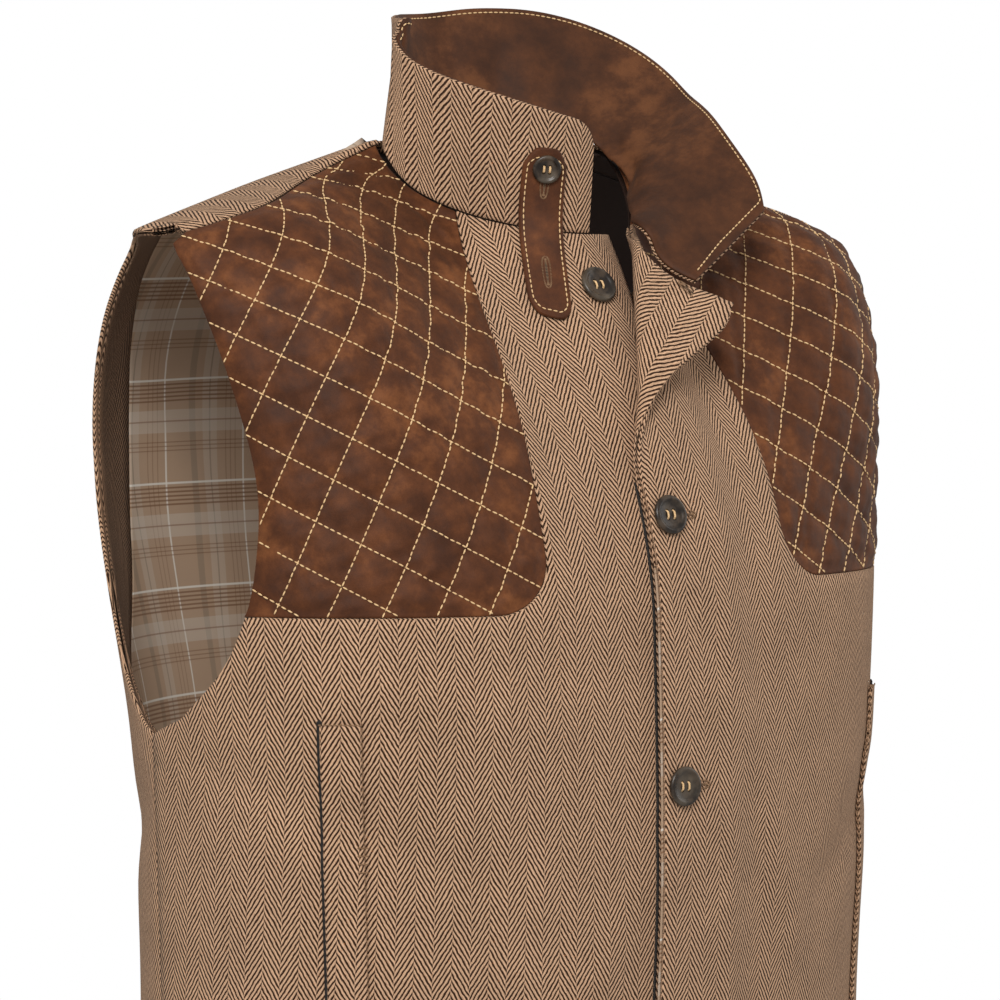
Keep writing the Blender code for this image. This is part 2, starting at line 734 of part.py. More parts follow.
def under_patch(side, grids):
    """A plain grid under the patch, on the neighbouring grids' own places, and the strip beside it."""
    edge, far, _, _ = front_armhole(side)
    edge[-1], far[-1] = grids["underarm"][0, 1], grids["underarm"][0, 0]
    neckline = evenly(front_neckline(side, PATCH_NECK_X, NECK_X), 3)
    neckline[0] = grids["beside"][0, -1]
    top = chain(neckline, evenly(shoulder_seam(side, "front", NECK_X, TIP_X - ARMHOLE_FACING), 5))
    top[-1] = far[0]
    return between(top, grids["side"][0], grids["beside"][:, -1], far), np.stack([far, edge], axis=1)


def make_front(side, name, grids):
    return cloth(name, "tweed", list(grids.values()), LAY[side], 0.0, TWEED)


def quilt_tables():
    """The chest as a flat sheet: heights, turns, the way down the cloth, and round it at each height."""
    heights = np.linspace(0.02, -0.30, 65)
    turns = np.linspace(0, math.radians(125), 161)
    downs = runs(on_body(turn_at(-CHEST_X, heights), heights))
    girths = runs(on_body(-turns[None, :], heights[:, None])[..., :2])
    return heights, turns, downs, girths


def flat_from_place(edge):
    """Places of one side as distances (round, down) on the flat sheet."""
    heights, turns, downs, girths = quilt_tables()
    row = np.interp(-edge[:, 1], -heights, np.arange(len(heights)))
    k = np.minimum(row.astype(int), len(heights) - 2)
    flat = []
    for place, at, r in zip(edge, k, row):
        near = [np.interp(abs(place[0]), turns, girths[j]) for j in (at, at + 1)]
        down = np.interp(r, np.arange(len(heights)), downs)
        flat.append((near[0] + (r - at) * (near[1] - near[0]), down))
    return np.array(flat)


def place_from_flat(side, flat):
    heights, turns, downs, girths = quilt_tables()
    row = np.interp(flat[:, 1], downs, np.arange(len(heights)))
    k = np.minimum(row.astype(int), len(heights) - 2)
    turn = []
    for round_way, at, r in zip(flat[:, 0], k, row):
        near = [np.interp(round_way, girths[j], turns) for j in (at, at + 1)]
        turn.append(near[0] + (r - at) * (near[1] - near[0]))
    return places(side * np.array(turn), np.interp(row, np.arange(len(heights)), heights))


def prism(points, low, high):
    """A flat outline between two heights."""
    sheet = bmesh.new()
    face = sheet.faces.new([sheet.verts.new((x, y, low)) for x, y in points])
    made = bmesh.ops.extrude_face_region(sheet, geom=[face])
    verts = [item for item in made["geom"] if isinstance(item, bmesh.types.BMVert)]
    bmesh.ops.translate(sheet, verts=verts, vec=(0, 0, high - low))
    bmesh.ops.recalc_face_normals(sheet, faces=sheet.faces)
    mesh = bpy.data.meshes.new("prism")
    sheet.to_mesh(mesh)
    sheet.free()
    return mesh


def outline_distance(points, outline):
    """How far each flat point is from the outline."""
    nearest = np.full(len(points), 1.0)
    for a, b in zip(outline, np.roll(outline, -1, axis=0)):
        way = b - a
        share = np.clip((points - a) @ way / np.dot(way, way), 0, 1)
        nearest = np.minimum(nearest, np.linalg.norm(points - a - share[:, None] * way, axis=1))
    return nearest


def make_patch(side, name):
    """A quilted patch: a flat sheet along the quilting, cut to its outline, then laid on the chest."""
    inner, foot = patch_seam(side, PATCH_GAP, (side * math.radians(55), -0.14))
    upper, _, _, _ = front_armhole(side)
    upper[-1] = foot[-1]
    neckline = evenly(front_neckline(side, PATCH_NECK_X, NECK_X), 4)
    neckline[0] = inner[0]
    top = chain(neckline, evenly(shoulder_seam(side, "front"), 12))
    outline = np.concatenate([top, upper[1:], foot[::-1][1:], inner[::-1][1:-1]])
    flat_outline = flat_from_place(outline)
    cells = range(-QUILT_CELLS, QUILT_CELLS)
    shares = np.array([cell + step for cell in cells for step in QUILT_STEPS])
    a, b = np.meshgrid(shares, shares)
    c, s = math.cos(QUILT_SLANT), math.sin(QUILT_SLANT)
    x = QUILT_MIDDLE[0] + side * QUILT_CELL * (a * c - b * s)
    y = QUILT_MIDDLE[1] - QUILT_CELL * (a * s + b * c)
    low = np.stack([x, y, np.zeros(x.shape)], axis=-1)
    sheet = helper(name + "_sheet", wall((low, low + (0, 0, 0.001))))
    cutter = helper(name + "_outline", prism(flat_outline, -0.01, 0.01))
    trim = sheet.modifiers.new("outline", "BOOLEAN")
    trim.operation = "INTERSECT"
    trim.solver = "EXACT"
    trim.object = cutter
    graph = bpy.context.evaluated_depsgraph_get()
    mesh = bpy.data.meshes.new_from_object(sheet.evaluated_get(graph))
    sheet.modifiers.remove(trim)
    points = np.array([vertex.co[:] for vertex in mesh.vertices])
    flat = points[:, :2]
    x, y = side * (flat[:, 0] - QUILT_MIDDLE[0]), QUILT_MIDDLE[1] - flat[:, 1]
    a, b = (x * c + y * s) / QUILT_CELL, (y * c - x * s) / QUILT_CELL
    crown = np.sqrt(np.abs(np.sin(math.pi * a) * np.sin(math.pi * b)))
    crown = QUILT_RISE * crown * smooth(outline_distance(flat, flat_outline) / QUILT_FADE)
    lift = np.where(points[:, 2] > 0.0005, LEATHER + crown, 0.0)
    place = place_from_flat(side, flat)
    for vertex, point in zip(mesh.vertices, LAY[side](place[:, 0], place[:, 1], lift)):
        vertex.co = point
    sheet = bmesh.new()
    sheet.from_mesh(mesh)
    bmesh.ops.triangulate(sheet, faces=sheet.faces)
    bmesh.ops.recalc_face_normals(sheet, faces=sheet.faces)
    sheet.to_mesh(mesh)
    sheet.free()
    return carry(name, mesh, "leather")


def back_grids():
    """The back's grids: the middle, which the lining follows, and the strip along each armhole."""
    strips, edges = [], []
    for side in (RIGHT, LEFT):
        edge, far = armhole_lines(side, "back", 12)
        strips.append(np.stack([edge, far] if side == RIGHT else [far, edge], axis=1))
        edges.append(chain(far, side_seam(side, "back", far[-1, 1], 8)))
    far_x = TIP_X - ARMHOLE_FACING
    seams = [evenly(shoulder_seam(side, "back", NECK_X, far_x), 6) for side in (RIGHT, LEFT)]
    top = chain(seams[0][::-1], evenly(back_neckline(), 10), seams[1])
    right, left = edges
    top[0], top[-1] = right[0], left[0]
    middle = between(top, straight(right[-1], left[-1], len(top) - 1), right, left)
    return middle, strips


def draw_in(points, top=0, foot=0, left=0, right=0):
    """A laid grid with its edges drawn in along the grid by these lengths, clear of its neighbours."""
    for by, edge, beside in ((top, 0, 1), (foot, -1, -2)):
        way = points[beside] - points[edge]
        points[edge] += by * way / np.maximum(np.linalg.norm(way, axis=-1, keepdims=True), 1e-9)
    for by, edge, beside in ((left, 0, 1), (right, -1, -2)):
        way = points[:, beside] - points[:, edge]
        points[:, edge] += by * way / np.maximum(np.linalg.norm(way, axis=-1, keepdims=True), 1e-9)
    return points


def layer(grid, put, low, high, **edges):
    """The inner and the outer points of one grid of a piece."""
    return tuple(draw_in(put(grid[..., 0], grid[..., 1], lift), **edges) for lift in (low, high))


def make_back(middle, strips):
    return cloth("back", "tweed", [middle, *strips], lay, 0.0, TWEED)


def make_linings(back_middle, fronts):
    """The lining of the back and of the two fronts, inside the facings and clear of the hem."""
    low, high = -INSIDE_GAP - LINING, -INSIDE_GAP
    sheet = layer(back_middle[:-1], lay, low, high, top=0.0015, left=GAP, right=GAP)
    carry("lining_back", wall(sheet), "lining")
    for side, name in ((RIGHT, "right"), (LEFT, "left")):
        grids, put = fronts[side], LAY[side]
        patch, _ = under_patch(side, grids)
        round_way = np.linspace(0, 1, patch.shape[1])[None, :]
        down = np.linspace(0, 1, patch.shape[0])[:, None]
        ease = UNDER_PATCH * np.minimum(1, 4 * round_way) * np.minimum(1, 4 * (1 - down))
        sheets = [
            layer(patch, put, low - ease, high - ease, top=0.0015, right=GAP),
            layer(grids["below"][:-1], put, low, high),
            layer(grids["side"][:-1], put, low, high),
        ]
        if side == RIGHT:
            sheets.append(layer(grids["beside"], put, low, high, top=0.0015))
        carry("lining_" + name, wall(*sheets), "lining")


def make_lapel_facing(grids):
    """The tweed facing inside the left front, on its turned corner and as far as the patch."""
    low, high = -INSIDE_GAP - FACING, -INSIDE_GAP
    corner = layer(grids["corner"], lay_left, low, high)
    beside = layer(grids["beside"], lay_left, low, high, foot=3 * GAP, right=3 * GAP)
    return carry("facing_left", wall(corner, beside), "tweed")


def make_armhole_facing(side, name, strips, grids):
    """A tweed strip round the inside of the armhole, its ends at the side seam."""
    _, beside_patch = under_patch(side, grids)
    front = chain(beside_patch, grids["underarm"])
    back = strips[0][:, ::-1] if side == RIGHT else strips[1]
    sheets = []
    for lift in (-INSIDE_GAP - FACING, -INSIDE_GAP):
        ring = [lay(strip[..., 0], strip[..., 1], lift) for strip in (front, back)]
        ring = np.concatenate([ring[0][::-1], ring[1][1:]])
        sheets.append(draw_in(ring, left=GAP / 3))
    return carry(name, wall(tuple(sheets)), "tweed")


# The collar and what lies on the right front.


def smooth_rows(points, times):
    """Points softened along the rows, with the two ends kept."""
    for _ in range(times):
        points = points.copy()
        points[1:-1] = (points[:-2] + 2 * points[1:-1] + points[2:]) / 4
    return points


def grid_normals(points):
    across, down = np.gradient(points, axis=1), np.gradient(points, axis=0)
    normal = np.cross(across, down)
    return normal / np.linalg.norm(normal, axis=-1, keepdims=True)


def unit(vectors):
    return vectors / np.linalg.norm(vectors, axis=-1, keepdims=True)


def collar_seam():
    """Along the collar's seam: number, neckline point, the way on, outwards, and a softened point."""
    right = front_neckline(RIGHT, -COLLAR_END_X, NECK_X, 41)
    left = front_neckline(LEFT, NECK_X, -COLLAR_END_X, 41)
    rows = []
    stretches = ((0, right, lay, 1), (1, back_neckline(81), lay, 3), (3, left, lay_left, 4))
    for first, edge, put, last in stretches:
        turn, height = edge[:, 0], edge[:, 1]
        point = put(turn, height, 0.0)
        onward, out = point - put(turn, height - 0.003, 0.0), put(turn, height, 0.001) - point
        length = runs(point)
        number = first + (last - first) * length / length[-1]
        rows.append(np.column_stack([number, point, onward, out])[first > 0 :])
    rows = np.concatenate(rows)
    numbers, points, onward, out = rows[:, 0], rows[:, 1:4], rows[:, 4:7], rows[:, 7:]
    along = unit(np.gradient(points, axis=0))
    onward = unit(onward - along * np.sum(onward * along, axis=1, keepdims=True))
    eased = smooth_rows(points, 150)
    onward, out = unit(smooth_rows(onward, 12)), unit(smooth_rows(unit(out), 12))
    return numbers, smooth_rows(points, 4), onward, out, eased


def softened(surface, numbers, shares, times):
    """The collar's surface without small waves where it leans out: softened along it, above its foot."""
    soft = np.swapaxes(smooth_rows(np.swapaxes(surface, 0, 1), times), 0, 1)
    share = smooth((numbers - COLLAR_SOFT_FROM) / 0.3) * smooth(shares / 0.45)
    return surface + share[..., None] * (soft - surface)


def collar_points(numbers, rises):
    """The collar's surface at these numbers along its seam, and these lengths up it."""
    known, *tables = collar_seam()
    point, way, out, eased = (
        np.stack([np.interp(numbers, known, table[:, k]) for k in range(3)], axis=-1) for table in tables
    )
    lean, towards, _ = read(COLLAR, numbers)
    lean, towards = np.radians(lean), np.radians(towards)
    up = np.stack([np.sin(lean) * np.sin(towards), -np.sin(lean) * np.cos(towards), np.cos(lean)], axis=-1)
    bend = np.linalg.norm(np.cross(way, up), axis=-1, keepdims=True)
    onward = np.sum(way * up, axis=-1, keepdims=True)
    stand = COLLAR_LEANT_RISE * smooth((0.5 - onward) / 0.3)
    stand = stand + COLLAR_FOLDED_RISE * smooth((-onward - 0.15) / 0.35)
    ahead = COLLAR_GAP + COLLAR_TURNED_GAP * smooth((numbers[..., None] - 3.25) / 0.2)
    start = point + way * (ahead + TWEED * bend) + out * stand
    ease = smooth((numbers[..., None] - 3.0) / 0.15) * smooth(rises[..., None] / COLLAR_EASE)
    return start + (eased - point) * ease + up * rises[..., None]


def make_collar():
    known, points, *_ = collar_seam()
    length = runs(points)
    ends = np.array((0.0, 0.12, 0.45, 1.0)) * COLLAR_CORNER
    middle = np.linspace(COLLAR_CORNER, length[-1] - COLLAR_CORNER, 37)[1:-1]
    way = np.concatenate([ends, middle, length[-1] - ends[::-1]])
    numbers = np.interp(way, length, known)
    tall = read(COLLAR, numbers)[2]
    near_end = np.minimum(COLLAR_CORNER, np.minimum(way, length[-1] - way))
    tall = tall - COLLAR_CORNER + np.sqrt(COLLAR_CORNER**2 - (COLLAR_CORNER - near_end) ** 2)
    rises = np.array(COLLAR_ROWS)[:, None] * tall
    numbers_grid = np.broadcast_to(numbers, rises.shape)
    surface = collar_points(numbers_grid, rises)
    surface = softened(surface, numbers_grid, np.array(COLLAR_ROWS)[:, None], 3)
    normal = grid_normals(surface)
    if np.dot(normal[2, 0], (0, -1, 0)) < 0:
        normal = -normal
    carry("collar_outer", wall((surface, surface + normal * TWEED)), "tweed")
    carry("collar_inner", wall((surface - normal * (GAP + LEATHER), surface - normal * GAP)), "leather")


def make_tab():
    """The throat tab: from the right half of the collar down onto the front."""
    known, points, *_ = collar_seam()
    seam_x = points[:40, 0]
    rises = [TAB_ON_COLLAR, TAB_ON_COLLAR - 0.002, TAB_ON_COLLAR - TAB_CORNER, 0.024, 0.014, 0.004]
    drops = np.array([0.004, 0.014, 0.024])
    drops = np.concatenate([drops, drops[-1] + np.array([0.010, 0.018, 0.0235])])
    rows = []
    total = TAB_ON_COLLAR + drops[-1]
    on_collar = [(TAB_ON_COLLAR - rise, rise, None) for rise in rises]
    for way, rise, drop in on_collar + [(TAB_ON_COLLAR + drop, 0, drop) for drop in drops]:
        near_end = min(TAB_CORNER, way, total - way)
        half = TAB_WIDTH / 2 - TAB_CORNER + math.sqrt(TAB_CORNER**2 - (TAB_CORNER - near_end) ** 2)
        x = np.interp(way, (0, TAB_ON_COLLAR, total), TAB_X) + TAB_ROUND * half * np.linspace(-1, 1, 5)
        if drop is None:
            numbers = np.interp(-x, -seam_x, known[:40])
            here = collar_points(numbers, np.full(5, rise))
            beside = collar_points(numbers + 0.02, np.full(5, rise)) - here
            above = collar_points(numbers, np.full(5, rise + 0.002)) - here
            normal = np.cross(above, beside)
            normal /= np.linalg.norm(normal, axis=1, keepdims=True)
            normal *= np.sign(-normal[:, 1:2])
            rows.append(here + normal * (TWEED + GAP))
        else:
            heights = neckline_height(-x) - drop
            rows.append(lay(turn_at(x, heights), heights, TWEED + GAP))
    inside = smooth_rows(np.array(rows), 2)
    normal = grid_normals(inside)
    normal *= np.sign(-normal[..., 1:2])
    inside = inside + normal * GAP
    outside = inside + normal * TAB_THICK
    carry("throat_tab", wall((inside, outside)), "leather")
    out, up = normal[2, 2], outside[1, 2] - outside[3, 2]
    make_button("tab_button", TAB_BUTTON_SIZE, TAB_BUTTON_STEPS, outside[2, 2] + out * 2 * GAP, out, up)


def make_welt(side, name):
    """A pocket's welt: a narrow folded strip that stands on the front beside the opening."""
    turns = side * np.linspace(WELT_TURN, WELT_TURN + WELT_WIDTH / 0.195, 3)
    turn, height = np.meshgrid(turns, np.linspace(WELT_TOP_Z, WELT_FOOT_Z, 9))
    low = TWEED + WELT_STAND
    return carry(name, wall((lay(turn, height, low), lay(turn, height, low + WELT_THICK))), "tweed")


def make_belt():
    """The half belt across the back's waist, sewn down at its ends and standing off between them."""
    turn, height = np.meshgrid(np.linspace(*BELT_TURNS, 17), np.linspace(BELT_TOP_Z, BELT_FOOT_Z, 4))
    share = (turn - BELT_TURNS[0]) / (BELT_TURNS[1] - BELT_TURNS[0])
    low = TWEED + GAP + BELT_STAND * smooth(share * 8) * smooth((1 - share) * 8)
    return carry("half_belt", wall((lay(turn, height, low), lay(turn, height, low + BELT_THICK))), "tweed")


BUTTON_PROFILE = (
    # shares of the radius: out from the axis, up from the back
    (0.0, 0.0),
    (0.80, 0.0),
    (1.0, 0.13),
    (1.0, 0.24),
    (0.88, 0.33),
    (0.74, 0.32),
    (0.62, 0.23),
    (0.0, 0.21),
)


def make_button(name, size, steps, point, normal, up):
    """A turned button with a raised rim and four holes, standing on a point of the cloth."""
    side_way = unit(np.cross(up, normal))
    pose = mathutils.Matrix.Identity(4)
    for row in range(3):
        pose[row] = (side_way[row], np.cross(normal, side_way)[row], normal[row], point[row])
    profile = bmesh.new()
    verts = [profile.verts.new((r * size / 2, 0, z * size / 2)) for r, z in BUTTON_PROFILE]
    for a, b in zip(verts, verts[1:]):
        profile.edges.new((a, b))
    mesh = bpy.data.meshes.new(name)
    profile.to_mesh(mesh)
    profile.free()
    button = carry(name, mesh, "horn")
    button.matrix_world = pose
    turned = button.modifiers.new("turned", "SCREW")
    turned.steps = turned.render_steps = steps
    turned.use_merge_vertices = True
    turned.merge_threshold = 1e-5
    turned.use_normal_calculate = True
    holes = bmesh.new()
    for x, y in ((-1, -1), (1, -1), (-1, 1), (1, 1)):
        reach = HOLE_STAND * size / BUTTON_SIZE
        stand = mathutils.Matrix.Translation((x * reach, y * reach, 0))
        bmesh.ops.create_cone(
            holes,
            cap_ends=True,
            segments=6,
            radius1=HOLE_SIZE / 2,
            radius2=HOLE_SIZE / 2,
            depth=size,
            matrix=stand,
        )
    hole_mesh = bpy.data.meshes.new(name + "_holes")
    holes.to_mesh(hole_mesh)
    holes.free()
    cutter = helper(name + "_holes", hole_mesh)
    cutter.matrix_world = pose
    cut = button.modifiers.new("holes", "BOOLEAN")
    cut.operation = "DIFFERENCE"
    cut.solver = "EXACT"
    cut.object = cutter
    return button


def make_buttons():
    for k, height in enumerate(BUTTON_Z):
        put = lay if k == 0 else lay_left
        turn = turn_at(TOP_BUTTON_X if k == 0 else BUTTON_X, height)
        point = put(turn, height, TWEED + GAP)
        across = put(turn + 0.02, height, TWEED) - put(turn - 0.02, height, TWEED)
        up = put(turn, height + 0.004, TWEED) - put(turn, height - 0.004, TWEED)
        make_button("button_%d" % (k + 1), BUTTON_SIZE, BUTTON_STEPS, point, unit(np.cross(across, up)), up)


bpy.context.scene.collection.children.link(CARRIED)
bpy.context.scene.collection.children.link(CUTTERS)
back_middle, back_strips = back_grids()
fronts = {side: front_grids(side) for side in (RIGHT, LEFT)}
make_back(back_middle, back_strips)
for side, name in ((RIGHT, "right"), (LEFT, "left")):
    make_front(side, "front_" + name, fronts[side])
    make_patch(side, "patch_" + name)
    make_armhole_facing(side, "armhole_facing_" + name, back_strips, fronts[side])
    make_welt(side, "welt_" + name)
make_collar()
make_lapel_facing(fronts[LEFT])
make_linings(back_middle, fronts)
make_belt()
make_tab()
make_buttons()
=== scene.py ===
"""The hunting vest's look: tweed, quilted leather, plaid lining, horn buttons and all of its sewing.

Metres, +Z up. The front faces -Y and the wearer's left is +X. A place on the body is a turn round it
(0 at the front centre, + to the wearer's left) and a height, and each piece is a fine shell on the same body
as its solid.
"""

import math

import bmesh
import bpy
import mathutils
import numpy as np
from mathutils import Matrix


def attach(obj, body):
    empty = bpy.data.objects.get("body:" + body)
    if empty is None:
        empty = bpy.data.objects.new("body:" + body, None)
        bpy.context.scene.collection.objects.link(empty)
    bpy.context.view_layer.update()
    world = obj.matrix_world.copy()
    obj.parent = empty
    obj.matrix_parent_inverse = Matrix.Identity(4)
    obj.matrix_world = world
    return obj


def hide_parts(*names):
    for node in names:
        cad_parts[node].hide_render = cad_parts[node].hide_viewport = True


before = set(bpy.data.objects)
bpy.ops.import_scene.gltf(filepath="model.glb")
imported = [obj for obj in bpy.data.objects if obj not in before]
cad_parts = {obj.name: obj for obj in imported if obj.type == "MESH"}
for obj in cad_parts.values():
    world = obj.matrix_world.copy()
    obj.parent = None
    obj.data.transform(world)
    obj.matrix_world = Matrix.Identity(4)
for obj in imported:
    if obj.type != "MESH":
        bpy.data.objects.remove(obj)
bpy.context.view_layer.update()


# ---- The body that the vest hangs on ----
# A general figure's trunk as sections at ten heights, with large soft folds of the cloth. It only says where
# the cloth lies, and no person is modelled. The vest hangs from the two shoulder ridges.

RIGHT = -1
LEFT = 1
FINE = 5  # steps of a shell for each step of its solid

# How thick each cloth is, the gap between pieces that meet, and the gap under a facing or the lining.
TWEED = 0.0020
LEATHER = 0.0016
LINING = 0.0010
FACING = 0.0012
GAP = 0.0003
INSIDE_GAP = 0.0010

# Shoulders and neck.
NECK_X = 0.075
TIP_X = 0.214
RIDGE_Y = 0.012
RIDGE_FALL = 0.045
RIDGE_CURVE = -0.003
LEFT_FALL = 0.005
LEFT_FORWARD = 0.016
SEAM_DROP_NECK = 0.0030
SEAM_DROP_TIP = 0.0048
SEAM_GAP = 0.0008
NECK_FRONT = 0.057
NECK_BACK = 0.020
NECK_FRONT_Z = -0.049
NECK_BACK_Z = -0.006
COLLAR_END_X = 0.008
CHEST_REACH = 0.25
BACK_REACH = 0.13

# Closing, side seams and hem.
EDGE_X = 0.017
EDGE_TOP_X = 0.030
SIDE_TURN = math.radians(94)
HEM_Z = -0.68
UNDERARM_Z = -0.301
LINING_HEM_Z = -0.655

# The body's sections: half width, depths to the front and the back centre, and how square each half is.
BODY = [
    # height, width, front, back, front_square, back_square
    (0.02, 0.234, 0.148, 0.146, 2.50, 2.70),
    (-0.06, 0.230, 0.148, 0.150, 2.50, 2.70),
    (-0.12, 0.226, 0.146, 0.151, 2.45, 2.75),
    (-0.18, 0.222, 0.143, 0.152, 2.35, 2.65),
    (-0.24, 0.220, 0.143, 0.151, 2.35, 2.25),
    (-0.30, 0.218, 0.145, 0.148, 2.30, 1.95),
    (-0.38, 0.215, 0.146, 0.146, 2.15, 1.90),
    (-0.45, 0.213, 0.143, 0.146, 2.10, 1.90),
    (-0.56, 0.216, 0.144, 0.149, 2.02, 1.95),
    (-0.68, 0.223, 0.148, 0.153, 2.00, 1.97),
]

# Large soft folds: a trough or a ridge along a line on the body, fullest in its middle.
FOLDS = [
    # turn_a, height_a, turn_b, height_b (degrees and metres), half_width, rise
    (-84, -0.315, -40, -0.375, 0.016, -0.0030),
    (-62, -0.275, -28, -0.300, 0.012, 0.0018),
    (80, -0.320, 42, -0.390, 0.017, -0.0032),
    (-16, -0.400, -50, -0.520, 0.020, 0.0025),
    (14, -0.270, 34, -0.420, 0.016, 0.0022),
    (20, -0.500, 46, -0.620, 0.022, -0.0030),
    (-24, -0.540, -60, -0.650, 0.022, -0.0026),
    (100, -0.340, 150, -0.430, 0.018, -0.0035),
    (262, -0.335, 214, -0.420, 0.018, -0.0032),
    (120, -0.520, 160, -0.620, 0.022, 0.0030),
    (236, -0.530, 204, -0.640, 0.022, 0.0026),
    (132, -0.120, 156, -0.250, 0.020, -0.0022),
    (226, -0.130, 200, -0.260, 0.020, -0.0022),
]
FOLD_GIRTH = 0.19


def unit(vectors):
    return vectors / np.linalg.norm(vectors, axis=-1, keepdims=True)


def smooth(x):
    """0 below 0, 1 above 1, and a soft step between."""
    x = np.clip(x, 0.0, 1.0)
    return x * x * (3 - 2 * x)


def read(table, where):
    """The table's other columns where its first column is this, on a smooth curve through the rows."""
    rows = np.array(table, float)
    if rows[0, 0] > rows[-1, 0]:
        rows = rows[::-1]
    keys, values = rows[:, 0], rows[:, 1:]
    slopes = np.gradient(values, keys, axis=0)
    where = np.clip(np.asarray(where, float), keys[0], keys[-1])
    k = np.clip(np.searchsorted(keys, where) - 1, 0, len(keys) - 2)
    span = (keys[k + 1] - keys[k])[..., None]
    t = (where - keys[k])[..., None] / span
    ends = values[k] * (1 + 2 * t) * (1 - t) ** 2 + values[k + 1] * t * t * (3 - 2 * t)
    bend = slopes[k] * span * t * (1 - t) ** 2 - slopes[k + 1] * span * t * t * (1 - t)
    return np.moveaxis(ends + bend, -1, 0)


def ridge(x):
    """The shoulder ridge's height."""
    out = np.maximum(0.0, np.abs(x) - NECK_X) / (TIP_X - NECK_X)
    return -RIDGE_FALL * out - RIDGE_CURVE * out**2


def neck_dish(x):
    """1 at the neck's centre, and 0 from the neck point outwards."""
    return (1 - np.minimum(1.0, np.abs(x) / NECK_X) ** 2) ** 2


def front_depth(x, drop, chest_y):
    """y of the front, this far below the ridge. Above the ridge the sheet runs on backwards."""
    base = RIDGE_Y - NECK_FRONT * neck_dish(x)
    power = 1.6 - 1.2 * smooth((np.abs(x) - 0.02) / 0.16)
    t = np.minimum(1.0, np.abs(drop) / CHEST_REACH)
    share = (1 - (1 - t) ** 2) ** power
    return base + (chest_y - base) * np.sign(drop) * share


def back_depth(x, drop, blade_y):
    """y of the back, this far below the ridge."""
    base = RIDGE_Y + NECK_BACK * neck_dish(x)
    power = 0.8 - 0.3 * smooth(np.abs(x) / 0.15)
    t = np.minimum(1.0, np.abs(drop) / BACK_REACH)
    return base + (blade_y - base) * (1 - (1 - t) ** 2) ** power


def section_depth(x, width, depth, square):
    return depth * (1 - np.minimum(0.9999, np.abs(x) / width) ** square) ** (1 / square)


def on_body(turn, height):
    """The body's surface. A place of the back half above the ridge lies just over it, on the front."""
    turn, height = np.broadcast_arrays(np.asarray(turn, float), np.asarray(height, float))
    width, front, back, front_square, back_square = read(BODY, height)
    to_front = np.cos(turn) > 0
    depth = np.where(to_front, front, back)
    square = np.where(to_front, front_square, back_square)
    s, c = np.sin(turn), np.cos(turn)
    reach = (np.abs(s / width) ** square + np.abs(c / depth) ** square) ** (-1 / square)
    x, y = reach * s, -reach * c
    drop = ridge(x) - height
    chest_y = -section_depth(x, width, front, front_square)
    over = ~to_front & (drop < 0)
    front_y = front_depth(x, np.where(over, -drop, drop), np.where(over, chest_y, y))
    y = np.where(to_front | over, front_y, back_depth(x, drop, y))
    z = np.where(over, ridge(x) + drop, height)
    left_shoulder = smooth(x / 0.19) * smooth((z + 0.30) / 0.26)
    return np.stack([x, y - LEFT_FORWARD * left_shoulder, z - LEFT_FALL * left_shoulder], axis=-1)


def outward(turn, height):
    """The surface's outward normal."""
    turn_step, height_step = 2e-3, 4e-4
    across = on_body(turn + turn_step, height) - on_body(turn - turn_step, height)
    up = on_body(turn, height + height_step) - on_body(turn, height - height_step)
    normal = np.cross(across, up)
    normal /= np.linalg.norm(normal, axis=-1, keepdims=True)
    point = on_body(turn, height)
    core = point * (0, 0, 1) + (0, RIDGE_Y, -0.12)
    facing = np.sign(np.sum(normal * (point - core), axis=-1, keepdims=True))
    return normal * facing


def rises_along(table, turn, height):
    """How far the troughs and ridges of a table lift the cloth here."""
    total = np.zeros(np.shape(turn))
    for turn_a, z_a, turn_b, z_b, half_width, rise in table:
        a = np.array((math.radians(turn_a) * FOLD_GIRTH, z_a))
        b = np.array((math.radians(turn_b) * FOLD_GIRTH, z_b))
        here = np.stack([turn * FOLD_GIRTH, height], axis=-1) - a
        along = here @ (b - a) / np.dot(b - a, b - a)
        off = np.linalg.norm(here - np.clip(along, 0, 1)[..., None] * (b - a), axis=-1)
        ends = smooth(along * 3 + 0.6) * smooth((1 - along) * 3 + 0.6)
        total = total + rise * ends * np.exp(-((off / half_width) ** 2))
    return total


def turn_at(x, height):
    """The turn on the front half where the body is this far from the centre."""
    width, front, _, square, _ = read(BODY, height)
    return np.arctan2(x, section_depth(x, width, front, square))


def back_turn_at(x, height):
    width, _, back, _, square = read(BODY, height)
    return np.arctan2(x, -section_depth(x, width, back, square)) % (2 * math.pi)


